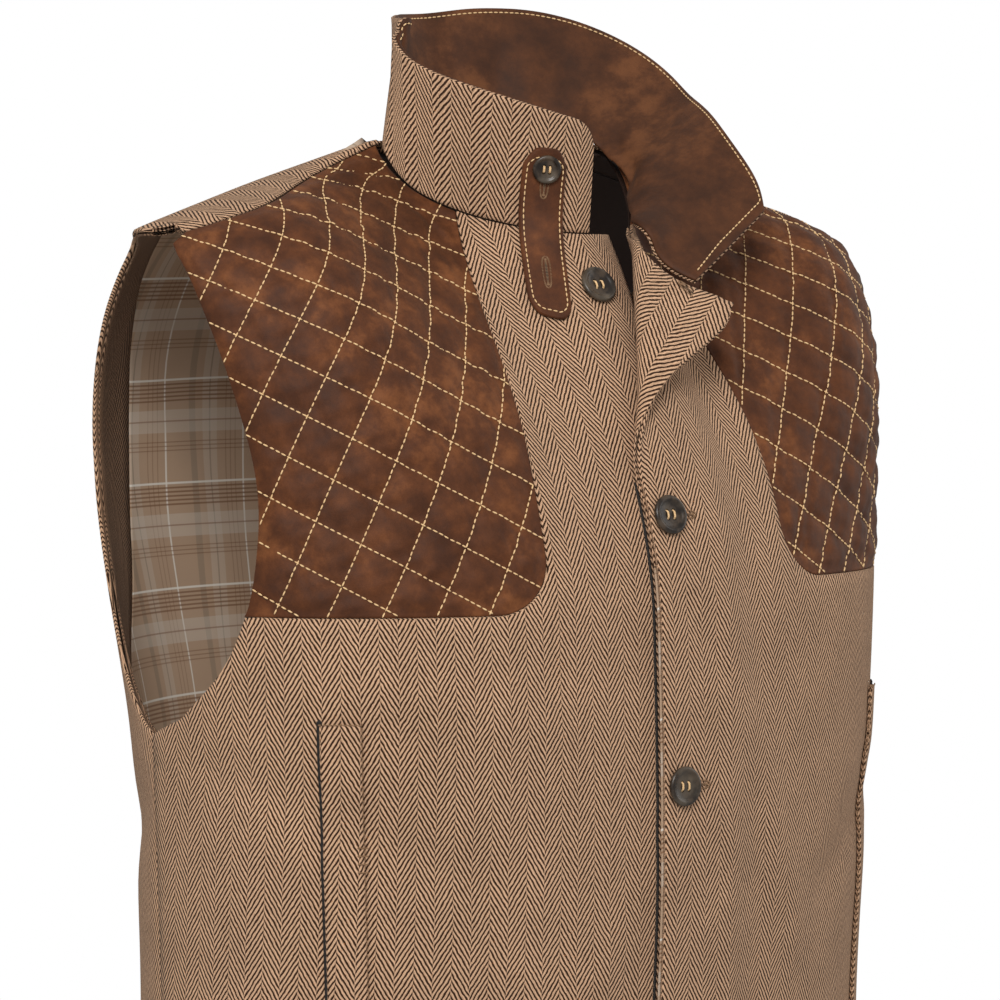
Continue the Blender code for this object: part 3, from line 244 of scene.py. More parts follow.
# Smaller creases of the worn cloth, between the large folds. Together they soften it.
CREASES = [
    # turn_a, height_a, turn_b, height_b (degrees and metres), half_width, rise
    (-70, -0.312, -58, -0.345, 0.006, -0.0010),
    (-78, -0.330, -60, -0.372, 0.007, 0.0008),
    (-30, -0.262, -12, -0.300, 0.008, -0.0007),
    (-3, -0.210, 20, -0.262, 0.006, 0.0010),
    (-2, -0.232, 16, -0.290, 0.006, -0.0009),
    (4, -0.345, 26, -0.385, 0.007, 0.0008),
    (3, -0.480, 24, -0.512, 0.007, -0.0008),
    (-8, -0.350, -26, -0.420, 0.009, -0.0008),
    (-40, -0.380, -30, -0.470, 0.010, 0.0008),
    (62, -0.325, 48, -0.360, 0.008, -0.0010),
    (70, -0.345, 50, -0.392, 0.008, 0.0009),
    (-20, -0.560, -34, -0.640, 0.010, 0.0008),
    (150, -0.100, 172, -0.150, 0.010, -0.0008),
    (210, -0.105, 190, -0.155, 0.010, -0.0008),
    (165, -0.300, 190, -0.340, 0.012, 0.0009),
    (120, -0.400, 140, -0.440, 0.010, -0.0010),
    (240, -0.395, 222, -0.438, 0.010, -0.0010),
    (160, -0.540, 175, -0.630, 0.012, 0.0009),
    (205, -0.560, 192, -0.640, 0.012, -0.0009),
]


def cloth_rise(turn, height):
    """How far folds and creases lift the cloth here."""
    return rises_along(FOLDS, turn, height) + rises_along(CREASES, turn, height)


def lay(turn, height, lift):
    turn, height = np.asarray(turn, float), np.asarray(height, float)
    stand = lift - TWEED + cloth_rise(turn, height)
    return on_body(turn, height) + outward(turn, height) * stand[..., None]


def roll_frame():
    """The roll line's top, its direction, the way across it to the corner, and outwards."""
    top = on_body(turn_at(*ROLL_TOP), ROLL_TOP[1])
    foot = on_body(turn_at(*ROLL_FOOT), ROLL_FOOT[1])
    along = (foot - top) / np.linalg.norm(foot - top)
    corner = on_body(turn_at(-EDGE_TOP_X, NECK_FRONT_Z), NECK_FRONT_Z) - top
    across = corner - along * np.dot(corner, along)
    across /= np.linalg.norm(across)
    return top, along, across, np.cross(across, along)


def chest_terms(here, past):
    return np.stack([here**i * past**j for i in range(4) for j in range(4 - i)], axis=-1)


def chest_curve():
    """How far the left chest stands from the roll line's plane: a cubic in the ways along and across it."""
    top, along, across, out = roll_frame()
    x, height = np.meshgrid(np.linspace(-0.02, 0.10, 13), np.linspace(-0.035, -0.25, 18))
    near = on_body(turn_at(x, height), height) - top
    here, past = (near @ along).ravel(), (near @ across).ravel()
    return np.linalg.lstsq(chest_terms(here, past), (near @ out).ravel(), rcond=None)[0]


# The left front's top corner turns out round this line of the closed front.
ROLL_TOP = (0.046, -0.037)
ROLL_FOOT = (-0.0145, -0.176)
ROLL_ANGLE = math.radians(162)
ROLL_RADIUS = 0.0095
ROLL_DRAG = 0.55
ROLL_SAG = 0.020
ROLL_SAG_SPREAD = 0.045
ROLL_LIFT = 0.018
ROLL_LIFT_SPREAD = 0.055

# The left front laps over the right one by this lift, which grows towards the closing.
OVERLAP = 0.0054
OVERLAP_FROM_X = 0.055
OVERLAP_FULL_X = 0.026


def lay_left(turn, height, lift):
    """The left front: lifted over the right one at the closing, and with its top corner turned out."""
    turn, height = np.asarray(turn, float), np.asarray(height, float)
    lift = np.broadcast_to(np.asarray(lift, float), turn.shape)[..., None]
    top, along, across, out = roll_frame()
    surface = on_body(turn, height)
    x = surface[..., 0]
    over = OVERLAP * smooth((OVERLAP_FROM_X - x) / (OVERLAP_FROM_X - OVERLAP_FULL_X))
    normal = outward(turn, height)
    surface = surface + normal * (over - TWEED + cloth_rise(turn, height))[..., None]
    from_top = np.linalg.norm(surface - top, axis=-1, keepdims=True)
    surface = surface + along * ROLL_SAG * np.exp(-((from_top / ROLL_SAG_SPREAD) ** 2))
    near = surface - top
    here, past = near @ along, near @ across
    spread = np.linalg.norm(near - np.maximum(past, 0)[..., None] * across, axis=-1) / ROLL_LIFT_SPREAD
    lifted = (ROLL_LIFT * np.exp(-spread * spread))[..., None] * out
    unrolled = surface + normal * lift + lifted
    dragged = here + ROLL_DRAG * np.maximum(past, 0)
    arc = np.clip(past, 0, ROLL_RADIUS * ROLL_ANGLE)
    angle, flat = arc / ROLL_RADIUS, past - arc
    level = ROLL_RADIUS * np.sin(angle) + flat * np.cos(angle)
    raised = ROLL_RADIUS * (1 - np.cos(angle)) + flat * np.sin(angle)
    curve = chest_curve()
    own = (near @ out - chest_terms(here, past) @ curve) * np.cos(angle)
    raised = raised + chest_terms(dragged, level) @ curve + own
    thickness = out * np.cos(angle)[..., None] - across * np.sin(angle)[..., None]
    turned = top + along * dragged[..., None] + across * level[..., None] + out * raised[..., None]
    return np.where((past > 0)[..., None], turned + thickness * lift + lifted, unrolled)


LAY = {RIGHT: lay, LEFT: lay_left}


# ---- The cut edges, and grids of places between them ----
# Each panel is drawn by its cut edges as rows of places, and filled between them. Neighbours keep 0.3 mm.

# The armhole's two edges, seen from the side: depth from the body's axis at each height.
ARMHOLE_FRONT = [
    # height, depth
    (-0.0528, -0.0110),
    (-0.0677, -0.0220),
    (-0.0867, -0.0320),
    (-0.1070, -0.0410),
    (-0.1330, -0.0500),
    (-0.1770, -0.0590),
    (-0.2053, -0.0590),
    (-0.2396, -0.0530),
    (-0.2690, -0.0370),
    (-0.2914, -0.0110),
]
ARMHOLE_BACK = [
    # height, depth
    (-0.0450, 0.0350),
    (-0.0500, 0.0470),
    (-0.0580, 0.0600),
    (-0.0685, 0.0710),
    (-0.0900, 0.0860),
    (-0.1153, 0.0990),
    (-0.1510, 0.1070),
    (-0.1965, 0.0990),
    (-0.2398, 0.0770),
    (-0.2750, 0.0500),
    (-0.2950, 0.0270),
]
ARMHOLE_FACING = 0.016
BACK_FACING = 0.042
UNDER_PATCH = 0.003

# The leather patches: the inner edge runs down from the neckline and turns a round corner to the armhole.
PATCH_NECK_X = 0.051
PATCH_CHEST_X = 0.080
PATCH_CORNER = 0.030
PATCH_GAP = 0.0004
PATCH_FOOT = {RIGHT: -0.238, LEFT: -0.226}
QUILT_CELL = 0.024
QUILT_SLANT = math.radians(-29)
QUILT_RISE = 0.0022
QUILT_FADE = 0.009
QUILT_MIDDLE = (0.15, 0.16)
QUILT_CELLS = 9
CHEST_X = 0.13


def places(turns, heights):
    return np.stack(np.broadcast_arrays(np.asarray(turns, float), np.asarray(heights, float)), axis=-1)


def chain(*stretches):
    """Stretches that meet end to end as one edge."""
    joined = [np.asarray(stretches[0])]
    for stretch in stretches[1:]:
        joined.append(np.asarray(stretch)[1:])
    return np.concatenate(joined)


def straight(a, b, steps):
    return np.linspace(np.asarray(a, float), np.asarray(b, float), steps + 1)


def runs(points):
    """The distance along each row of points."""
    steps = np.linalg.norm(np.diff(points, axis=-2), axis=-1)
    return np.concatenate([np.zeros(steps.shape[:-1] + (1,)), np.cumsum(steps, axis=-1)], axis=-1)


def spaced(edge, shares):
    """The edge's places at these shares of its length on the cloth."""
    length = runs(on_body(edge[:, 0], edge[:, 1]))
    wanted = length[-1] * np.asarray(shares)
    return np.stack([np.interp(wanted, length, edge[:, k]) for k in (0, 1)], axis=1)


def evenly(edge, steps):
    return spaced(edge, np.linspace(0, 1, steps + 1))


def between(top, foot, left, right):
    """A grid of places between four edges, with as many places on the opposite ones."""
    u = np.linspace(0, 1, len(top))[None, :, None]
    v = np.linspace(0, 1, len(left))[:, None, None]
    across = (1 - v) * top[None] + v * foot[None]
    down = (1 - u) * left[:, None] + u * right[:, None]
    corners = (1 - u) * ((1 - v) * top[0] + v * foot[0]) + u * ((1 - v) * top[-1] + v * foot[-1])
    grid = across + down - corners
    grid[:, 0], grid[:, -1], grid[0], grid[-1] = left, right, top, foot
    return grid


def inset(edge, width, into, steps=4):
    """The edge moved sideways over the surface by the width, to the side where this other place lies."""
    moved = np.array(edge, float)
    width = np.broadcast_to(width, len(moved))
    step = 1e-4
    for _ in range(steps):
        turn, height = moved[:, 0], moved[:, 1]
        point = on_body(turn, height)
        by_turn = (on_body(turn + step, height) - point) / step
        by_height = (point - on_body(turn, height - step)) / step
        aside = np.cross(np.cross(by_turn, by_height), np.gradient(point, axis=0))
        aside /= np.linalg.norm(aside, axis=1, keepdims=True)
        middle = len(aside) // 2
        if np.dot(aside[middle], on_body(*into) - point[middle]) < 0:
            aside = -aside
        for k, (a, b) in enumerate(zip(by_turn, by_height)):
            shift = np.linalg.lstsq(np.stack([a, b], axis=1), aside[k] * width[k] / steps, rcond=None)[0]
            moved[k] += shift
    return moved


def edge_reach(height):
    """How far past the front centre the closing edge runs."""
    return EDGE_X + (EDGE_TOP_X - EDGE_X) * smooth((height + 0.12) / 0.075)


def closing_edge(side, top, foot, steps):
    heights = np.linspace(top, foot, steps + 1)
    return places(turn_at(-side * edge_reach(heights), heights), heights)


def neckline_height(x):
    """The front neckline's height, this far out on the front's own side."""
    share = np.clip((x + COLLAR_END_X) / (NECK_X + COLLAR_END_X), 0, 1)
    return -SEAM_DROP_NECK + (NECK_FRONT_Z + SEAM_DROP_NECK) * np.sqrt(1 - share**2.3)


def front_neckline(side, x_from, x_to, count=17):
    x = np.linspace(x_from, x_to, count)
    heights = neckline_height(x)
    return places(turn_at(side * x, heights), heights)


def back_neckline(count=25):
    """The back neckline from the right neck point to the left one."""
    x = np.linspace(-NECK_X, NECK_X, count)
    rise = SEAM_DROP_NECK - SEAM_GAP - NECK_BACK_Z
    heights = NECK_BACK_Z + rise * (np.abs(x) / NECK_X) ** 2.5
    return places(back_turn_at(x, heights), heights)


def seam_drop(x):
    return SEAM_DROP_NECK + (SEAM_DROP_TIP - SEAM_DROP_NECK) * (np.abs(x) - NECK_X) / (TIP_X - NECK_X)


def shoulder_seam(side, half, x_from=NECK_X, x_to=TIP_X, count=13):
    """The shoulder seam from the neck to the tip, as the front's edge or the back's."""
    x = np.linspace(x_from, x_to, count)
    if half == "front":
        heights = ridge(x) - seam_drop(x)
        return places(turn_at(side * x, heights), heights)
    heights = ridge(x) + seam_drop(x) - SEAM_GAP
    return places(back_turn_at(side * x, heights), heights)


def armhole(side, half, count=48):
    """The armhole's edge from the shoulder tip to the underarm."""
    table = ARMHOLE_FRONT if half == "front" else ARMHOLE_BACK
    round_over = front_depth if half == "front" else back_depth
    heights = np.linspace(table[0][0], table[-1][0], count)
    depth_y = read(table, heights)[0]
    width, front, back, front_square, back_square = read(BODY, heights)
    x = np.full(count, TIP_X)
    section_y = depth_y
    for _ in range(6):
        share = (round_over(x, ridge(x) - heights, 1.0) - RIDGE_Y) / (1.0 - RIDGE_Y)
        section_y = RIDGE_Y + (depth_y - RIDGE_Y) / share
        to_front = section_y < 0
        square = np.where(to_front, front_square, back_square)
        x = section_depth(section_y, np.where(to_front, front, back), width, square)
    edge = places(np.arctan2(x, -section_y), heights)
    first = shoulder_seam(LEFT, half)[-1:]
    last = side_seam(LEFT, half, UNDERARM_Z, 1)[:1]
    if half == "back":
        over_ridge = places([back_turn_at(TIP_X, ridge(TIP_X))], [ridge(TIP_X)])
        first = np.concatenate([first, over_ridge])
    edge = np.concatenate([first, edge, last])
    if side == RIGHT:
        edge[:, 0] = -edge[:, 0] if half == "front" else 2 * math.pi - edge[:, 0]
    return edge


def side_seam(side, half, top, steps):
    """A side seam: evenly to the lining's hem, and on to the hem."""
    turn = SIDE_TURN if half == "front" else SIDE_TURN + GAP / BODY[5][1]
    if side == RIGHT:
        turn = -turn if half == "front" else 2 * math.pi - turn
    heights = np.linspace(top, LINING_HEM_Z, steps + 1)
    return places(turn, np.append(heights, np.linspace(LINING_HEM_Z, HEM_Z, FINE + 1)[1:]))


def cut_at(edge, height):
    """An edge in two, above and below this height. Its first places may lie lower than the next ones."""
    k = next(i for i in range(3, len(edge)) if edge[i, 1] < height)
    share = (height - edge[k - 1, 1]) / (edge[k, 1] - edge[k - 1, 1])
    cut = edge[k - 1] + share * (edge[k] - edge[k - 1])
    return np.vstack([edge[:k], cut]), np.vstack([cut, edge[k:]])


def armhole_lines(side, half, steps):
    """The armhole's edge and the line that its facing reaches, from the shoulder tip to the side seam."""
    edge = evenly(armhole(side, half), steps)
    into = (side * math.radians(50), -0.20) if half == "front" else (math.pi, -0.18)
    share = np.linspace(0, 1, steps + 1)
    swell = smooth((share - 0.17) / 0.33) * smooth((1 - share) / 0.35)
    far = inset(edge, ARMHOLE_FACING + (BACK_FACING - ARMHOLE_FACING) * swell, into)
    far[0] = shoulder_seam(side, half, TIP_X - ARMHOLE_FACING, TIP_X - ARMHOLE_FACING, 1)[0]
    far[-1] = edge[-1] - (0, ARMHOLE_FACING)
    near = len(far) // 8
    far[1:near] = straight(far[0], far[near], near)[1:-1]
    return edge, far


def front_armhole(side):
    """The front's armhole lines in two: beside the patch, and from its foot to the side seam."""
    upper, lower = cut_at(armhole(side, "front"), PATCH_FOOT[side])
    edge = chain(evenly(upper, 10 * FINE), evenly(lower, 4 * FINE))
    far = inset(edge, ARMHOLE_FACING, (side * math.radians(50), -0.20))
    far[0] = shoulder_seam(side, "front", TIP_X - ARMHOLE_FACING, TIP_X - ARMHOLE_FACING, 1)[0]
    far[-1] = edge[-1] - (0, ARMHOLE_FACING)
    foot = 10 * FINE
    near_foot = np.exp(-(((np.arange(len(far)) - foot) / (3 * FINE)) ** 2))
    far[:, 1] += (PATCH_FOOT[side] - far[foot, 1]) * near_foot
    return edge[: foot + 1], far[: foot + 1], edge[foot:], far[foot:]


def patch_seam(side, width, into):
    """The seam round a patch, moved aside: to its corner's middle, and on to the armhole."""
    foot = PATCH_FOOT[side]
    neck_z = neckline_height(PATCH_NECK_X)
    heights = np.linspace(neck_z, foot + PATCH_CORNER, 14)
    share = (neck_z - heights) / (neck_z - foot - PATCH_CORNER)
    x = PATCH_NECK_X + (PATCH_CHEST_X - PATCH_NECK_X) * (1 - (1 - share) ** 1.7)
    inner = evenly(places(turn_at(side * x, heights), heights), 8 * FINE)
    angles = np.linspace(0, math.pi / 2, 4 * FINE + 1)
    arc_x = PATCH_CHEST_X + PATCH_CORNER * (1 - np.cos(angles))
    arc_z = foot + PATCH_CORNER * (1 - np.sin(angles))
    arc = places(turn_at(side * arc_x, arc_z), arc_z)
    edge, far, _, _ = front_armhole(side)
    seam = chain(inner, arc, straight(arc[-1], far[-1], 6 * FINE), np.array([far[-1], edge[-1]]))
    seam = inset(seam, width, into, 1)
    return seam[: 10 * FINE + 1], seam[10 * FINE :]


def roll_line():
    """The left front's roll line from the neckline to the closing edge."""
    x = np.linspace(ROLL_TOP[0], -edge_reach(ROLL_FOOT[1]), 8 * FINE + 1)
    heights = np.linspace(neckline_height(ROLL_TOP[0]), ROLL_FOOT[1], 8 * FINE + 1)
    line = places(turn_at(x, heights), heights)
    line[-1] = closing_edge(LEFT, ROLL_FOOT[1], ROLL_FOOT[1], 0)[0]
    return line


def turned_corner():
    """The grid of the left front's corner, from its edge to the roll line, with steps round the bend."""
    line = roll_line()
    neckline = front_neckline(LEFT, -EDGE_TOP_X, ROLL_TOP[0], 33)[::-1]
    bow = neckline - straight(neckline[0], neckline[-1], 32)
    edge = closing_edge(LEFT, neckline[-1, 1], ROLL_FOOT[1], 8 * FINE)
    rows = []
    for k, (near, far) in enumerate(zip(line, edge)):
        row = straight(near, far, 32) + bow * (1 - k / (8 * FINE)) ** 2
        length = max(runs(on_body(row[:, 0], row[:, 1]))[-1], 1e-9)
        steps = np.arange(4 * FINE + 1)
        bend = np.minimum(steps / (4 * FINE) * ROLL_RADIUS * ROLL_ANGLE / length, steps / (6 * FINE))
        rest = bend[-1] + (1 - bend[-1]) * np.arange(1, 2 * FINE + 1) / (2 * FINE)
        rows.append(spaced(row, np.append(bend, rest))[::-1])
    grid = np.array(rows)
    grid[0, -1], grid[0, 0], grid[-1] = line[0], edge[0], line[-1]
    return grid


def strip_between(a, b):
    """A grid from one edge to the other one beside it."""
    share = np.linspace(0, 1, FINE + 1)[None, :, None]
    return a[:, None] + share * (b - a)[:, None]


def front_grids(side):
    """A tweed front's grids, by name. The corner is the left front's alone."""
    inner, foot = patch_seam(side, PATCH_GAP, (side * math.radians(8), -0.40))
    grids = {}
    if side == LEFT:
        grids["corner"] = turned_corner()
        neckline = front_neckline(side, ROLL_TOP[0], PATCH_NECK_X, 6 * FINE + 1)
        neckline[0] = grids["corner"][0, -1]
        edge = chain(grids["corner"][:, -1], closing_edge(side, ROLL_FOOT[1], inner[-1, 1], 2 * FINE))
    else:
        neckline = evenly(front_neckline(side, -EDGE_TOP_X, PATCH_NECK_X, 65), 6 * FINE)
        edge = closing_edge(side, neckline[0, 1], inner[-1, 1], 10 * FINE)
    neckline[-1] = inner[0]
    middle = straight(edge[-1], inner[-1], 6 * FINE)
    grids["beside"] = between(neckline, middle, edge, inner)
    _, _, armhole_edge, armhole_far = front_armhole(side)
    armhole_edge[0], armhole_far[0] = foot[-1], foot[-2]
    outer = chain(armhole_far, side_seam(side, "front", armhole_far[-1, 1], 6 * FINE))
    lower_edge = chain(
        closing_edge(side, middle[0, 1], LINING_HEM_Z, 10 * FINE),
        closing_edge(side, LINING_HEM_Z, HEM_Z, FINE),
    )
    split = side * math.radians(24)
    hem = (split, LINING_HEM_Z)
    divide = chain(straight(inner[-1], hem, 10 * FINE), straight(hem, (split, HEM_Z), FINE))
    grids["below"] = between(middle, straight(lower_edge[-1], divide[-1], 6 * FINE), lower_edge, divide)
    grids["side"] = between(foot[:-1], straight(divide[-1], outer[-1], len(foot) - 2), divide, outer)
    grids["underarm"] = strip_between(armhole_far, armhole_edge)
    return grids


def under_patch(side, grids):
    """A plain grid under the patch, on the neighbouring grids' own places, and the strip beside it."""
    edge, far, _, _ = front_armhole(side)
    edge[-1], far[-1] = grids["underarm"][0, 1], grids["underarm"][0, 0]
    neckline = evenly(front_neckline(side, PATCH_NECK_X, NECK_X, 65), 3 * FINE)
    neckline[0] = grids["beside"][0, -1]
    top = chain(neckline, evenly(shoulder_seam(side, "front", NECK_X, TIP_X - ARMHOLE_FACING), 5 * FINE))
    top[-1] = far[0]
    return between(top, grids["side"][0], grids["beside"][:, -1], far), strip_between(far, edge)


def back_grids():
    """The back's grids: the middle, which the lining follows, and the strip along each armhole."""
    strips, edges = [], []
    for side in (RIGHT, LEFT):
        edge, far = armhole_lines(side, "back", 12 * FINE)
        strips.append(strip_between(edge, far) if side == RIGHT else strip_between(far, edge))
        edges.append(chain(far, side_seam(side, "back", far[-1, 1], 8 * FINE)))
    far_x = TIP_X - ARMHOLE_FACING
    seams = [evenly(shoulder_seam(side, "back", NECK_X, far_x), 6 * FINE) for side in (RIGHT, LEFT)]
    top = chain(seams[0][::-1], evenly(back_neckline(65), 10 * FINE), seams[1])
    right, left = edges
    top[0], top[-1] = right[0], left[0]
    middle = between(top, straight(right[-1], left[-1], len(top) - 1), right, left)
    return middle, strips


def draw_in(points, top=0, foot=0, left=0, right=0):
    """A laid grid with its edges drawn in along the grid by these lengths, clear of its neighbours."""
    for by, edge, beside in ((top, 0, 1), (foot, -1, -2)):
        way = points[beside] - points[edge]
        points[edge] += by * way / np.maximum(np.linalg.norm(way, axis=-1, keepdims=True), 1e-9)
    for by, edge, beside in ((left, 0, 1), (right, -1, -2)):
        way = points[:, beside] - points[:, edge]
        points[:, edge] += by * way / np.maximum(np.linalg.norm(way, axis=-1, keepdims=True), 1e-9)
    return points


def layer(grid, put, low, high, **edges):
    """The inner and the outer points of one grid of a piece."""
    return tuple(draw_in(put(grid[..., 0], grid[..., 1], lift), **edges) for lift in (low, high))


TABLE_TURN = 2.0
TABLE_HEIGHTS = (0.03, -0.70)
TABLE_ROWS = 147
MIDDLE_COLUMN = 80
WAIST_ROW = 96  # the tables' row at the waist, where the cloth of all the columns is level


def cloth_tables(middle):
    """For each turn and height: metres of cloth round the body from the middle turn, and down it."""
    turns = middle + np.linspace(-TABLE_TURN, TABLE_TURN, 2 * MIDDLE_COLUMN + 1)
    heights = np.linspace(*TABLE_HEIGHTS, TABLE_ROWS)
    turn, height = np.meshgrid(turns, heights)
    points = on_body(turn, height)
    around = runs(points[..., :2])
    around = around - around[:, [MIDDLE_COLUMN]]
    down = runs(np.swapaxes(points, 0, 1)).T
    down = down - down[[WAIST_ROW]]
    return turns, heights, around, down


TABLES = {0.0: cloth_tables(0.0), math.pi: cloth_tables(math.pi)}


def cloth_place(grid, middle=0.0):
    """A grid of places as metres of cloth, which every weave is drawn on."""
    turns, heights, around, down = TABLES[middle]
    column = np.interp(grid[..., 0], turns, np.arange(len(turns)))
    row = np.interp(-grid[..., 1], -heights, np.arange(len(heights)))
    i = np.minimum(column.astype(int), len(turns) - 2)
    j = np.minimum(row.astype(int), len(heights) - 2)
    s, t = column - i, row - j
    found = []
    for table in (around, down):
        upper = table[j, i] * (1 - s) + table[j, i + 1] * s
        lower = table[j + 1, i] * (1 - s) + table[j + 1, i + 1] * s
        found.append(upper * (1 - t) + lower * t)
    return np.stack([found[0], -found[1]], axis=-1)


# ---- Shells of cloth and leather ----
# A piece is an inner and an outer skin with a soft rolled rim, as a folded and pressed edge has.

RIM = 0.22  # how far a rim bulges, as a share of the thickness
RIM_SHIFT = (0.0012, 0.0005)  # how far the weave runs on over the middle of a rim


def skin_faces(sheets):
    """Points, cloth places and quads of sheets whose meeting edges are joined."""
    inner = np.concatenate([sheet[0].reshape(-1, 3) for sheet in sheets])
    outer = np.concatenate([sheet[1].reshape(-1, 3) for sheet in sheets])
    cloth = np.concatenate([sheet[2].reshape(-1, 2) for sheet in sheets])
    _, first, same = np.unique(np.round(inner, 6), axis=0, return_index=True, return_inverse=True)
    same = same.reshape(-1)
    quads = []
    start = 0
    for sheet in sheets:
        rows, columns = sheet[0].shape[:2]
        index = same[start : start + rows * columns].reshape(rows, columns)
        start += rows * columns
        ring = (index[:-1, :-1], index[1:, :-1], index[1:, 1:], index[:-1, 1:])
        quads.append(np.stack(ring, axis=-1).reshape(-1, 4))
    return inner[first], outer[first], cloth[first], np.concatenate(quads)


def shell(name, sheets, material):
    """A closed piece from sheets of inner points, outer points and cloth places."""
    inner, outer, cloth, quads = skin_faces(sheets)
    count = len(inner)
    a, b = quads.ravel(), np.roll(quads, -1, axis=1).ravel()
    owner = np.repeat(np.arange(len(quads)), 4)
    real = a != b
    a, b, owner = a[real], b[real], owner[real]
    free = ~np.isin(a * count + b, b * count + a)
    a, b, owner = a[free], b[free], owner[free]
    middle = (inner + outer) / 2
    thick = outer - inner
    away = np.cross(middle[b] - middle[a], thick[a])
    centre = middle[quads[owner]].mean(axis=1)
    away *= np.sign(np.sum(away * (middle[a] - centre), axis=1, keepdims=True))
    away /= np.maximum(np.linalg.norm(away, axis=1, keepdims=True), 1e-12)
    bulge = np.zeros((count, 3))
    np.add.at(bulge, a, away)
    np.add.at(bulge, b, away)
    bulge /= np.maximum(np.linalg.norm(bulge, axis=1, keepdims=True), 1e-12)
    size = np.linalg.norm(thick, axis=1, keepdims=True)
    rim = np.unique(np.concatenate([a, b]))
    rim_at = np.full(count, -1)
    rim_at[rim] = 2 * count + np.arange(len(rim))
    points = np.concatenate([inner, outer, (middle + bulge * size * RIM)[rim]])
    cloth = np.concatenate([cloth, cloth, cloth[rim] + RIM_SHIFT])
    faces = [tuple(dict.fromkeys(face)) for face in (quads + count).tolist()]
    faces += [tuple(dict.fromkeys(face))[::-1] for face in quads.tolist()]
    faces = [face for face in faces if len(face) > 2]
    for p, q in zip(a.tolist(), b.tolist()):
        faces.append((q + count, p + count, rim_at[p], rim_at[q]))
        faces.append((rim_at[q], rim_at[p], p, q))
    mesh = bpy.data.meshes.new(name)
    mesh.from_pydata(points.tolist(), [], faces)
    sheet = bmesh.new()
    sheet.from_mesh(mesh)
    bmesh.ops.recalc_face_normals(sheet, faces=sheet.faces)
    sheet.to_mesh(mesh)
    sheet.free()
    corner = np.empty(len(mesh.loops), np.int32)
    mesh.loops.foreach_get("vertex_index", corner)
    mesh.uv_layers.new(name="cloth").data.foreach_set("uv", cloth[corner].astype(np.float32).ravel())
    mesh.shade_smooth()
    mesh.materials.append(material)
    obj = bpy.data.objects.new(name, mesh)
    bpy.context.scene.collection.objects.link(obj)
    return obj


def stands_for(obj, *nodes):
    """The piece takes the place of these solids, and moves with the vest."""
    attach(obj, "root")
    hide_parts(*nodes)
    return obj


def cut_from(obj, sheets):
    """Hands the piece back unchanged: it works out steps across and down each sheet, and keeps nothing of
    them.
    """
    for inner, outer, _ in sheets:
        points = (inner + outer) / 2
        across = points[:-1, 1:] - points[1:, :-1]
        down = points[1:, 1:] - points[:-1, :-1]
    return obj


def laid(grid, put, low, high, middle=0.0, **edges):
    """One sheet of a piece: the grid's inner and outer points, and its cloth places."""
    inner, outer = layer(grid, put, low, high, **edges)
    return inner, outer, cloth_place(grid, middle)


def lined(grid, put, low, high, middle=0.0, **edges):
    """One sheet of the lining, whose check hangs straight: its places go by turn and height alone."""
    inner, outer = layer(grid, put, low, high, **edges)
    return inner, outer, (grid - (middle, 0.0)) * (FOLD_GIRTH, 1.02)


# ---- Materials ----
# Shader sums are written as Python expressions on sockets. Each fabric reads the piece's own cloth map, which
# is in metres, so that the weave runs true on every piece.


class Value:
    """A socket of a material that adds, multiplies and compares like a number."""

    def __init__(self, tree, socket):
        self.tree = tree
        self.socket = socket

    def node(self, kind, inputs, output=0, **settings):
        """Any node of this tree: its type, its settings and its inputs by name or place."""
        made = self.tree.nodes.new(kind)
        for key, value in settings.items():
            setattr(made, key, value)
        for key, value in inputs.items():
            if isinstance(value, Value):
                self.tree.links.new(value.socket, made.inputs[key])
            else:
                made.inputs[key].default_value = value
        return Value(self.tree, made.outputs[output])

    def math(self, operation, *others, clamp=False):
        inputs = dict(enumerate((self, *others)))
        return self.node("ShaderNodeMath", inputs, operation=operation, use_clamp=clamp)

    def __add__(self, other):
        return self.math("ADD", other)

    def __mul__(self, other):
        return self.math("MULTIPLY", other)

    def __sub__(self, other):
        return self.math("SUBTRACT", other)

    def __truediv__(self, other):
        return self.math("DIVIDE", other)

    def __mod__(self, other):
        return self.math("FLOORED_MODULO", other)

    __radd__ = __add__
    __rmul__ = __mul__

    def __rsub__(self, other):
        return (self * -1.0) + other

    def above(self, edge, soft):
        """0 below the edge and 1 above it, over this soft width."""
        inputs = {0: self, 1: edge - soft, 2: edge + soft}
        return self.node("ShaderNodeMapRange", inputs, interpolation_type="SMOOTHSTEP")

    def near(self, middle, half, soft):
        """1 within this half width of the middle."""
        return 1.0 - (self - middle).math("ABSOLUTE").above(half, soft)

    def noise(self, scale, detail=2.0, rough=0.5):
        """Noise at this vector, from 0 to 1."""
        inputs = {"Vector": self, "Scale": scale, "Detail": detail, "Roughness": rough}
        return self.node("ShaderNodeTexNoise", inputs, 0)

    def scaled(self, share):
        """This colour made lighter or darker."""
        return self.node("ShaderNodeVectorMath", {0: self, 3: share}, operation="SCALE")

    def mixed(self, first, second):
        """Between two colours by this share."""
        inputs = {0: self, 6: colour(first), 7: colour(second)}
        return self.node("ShaderNodeMix", inputs, 2, data_type="RGBA")


def colour(value):
    return value if isinstance(value, Value) else (*value, 1.0)


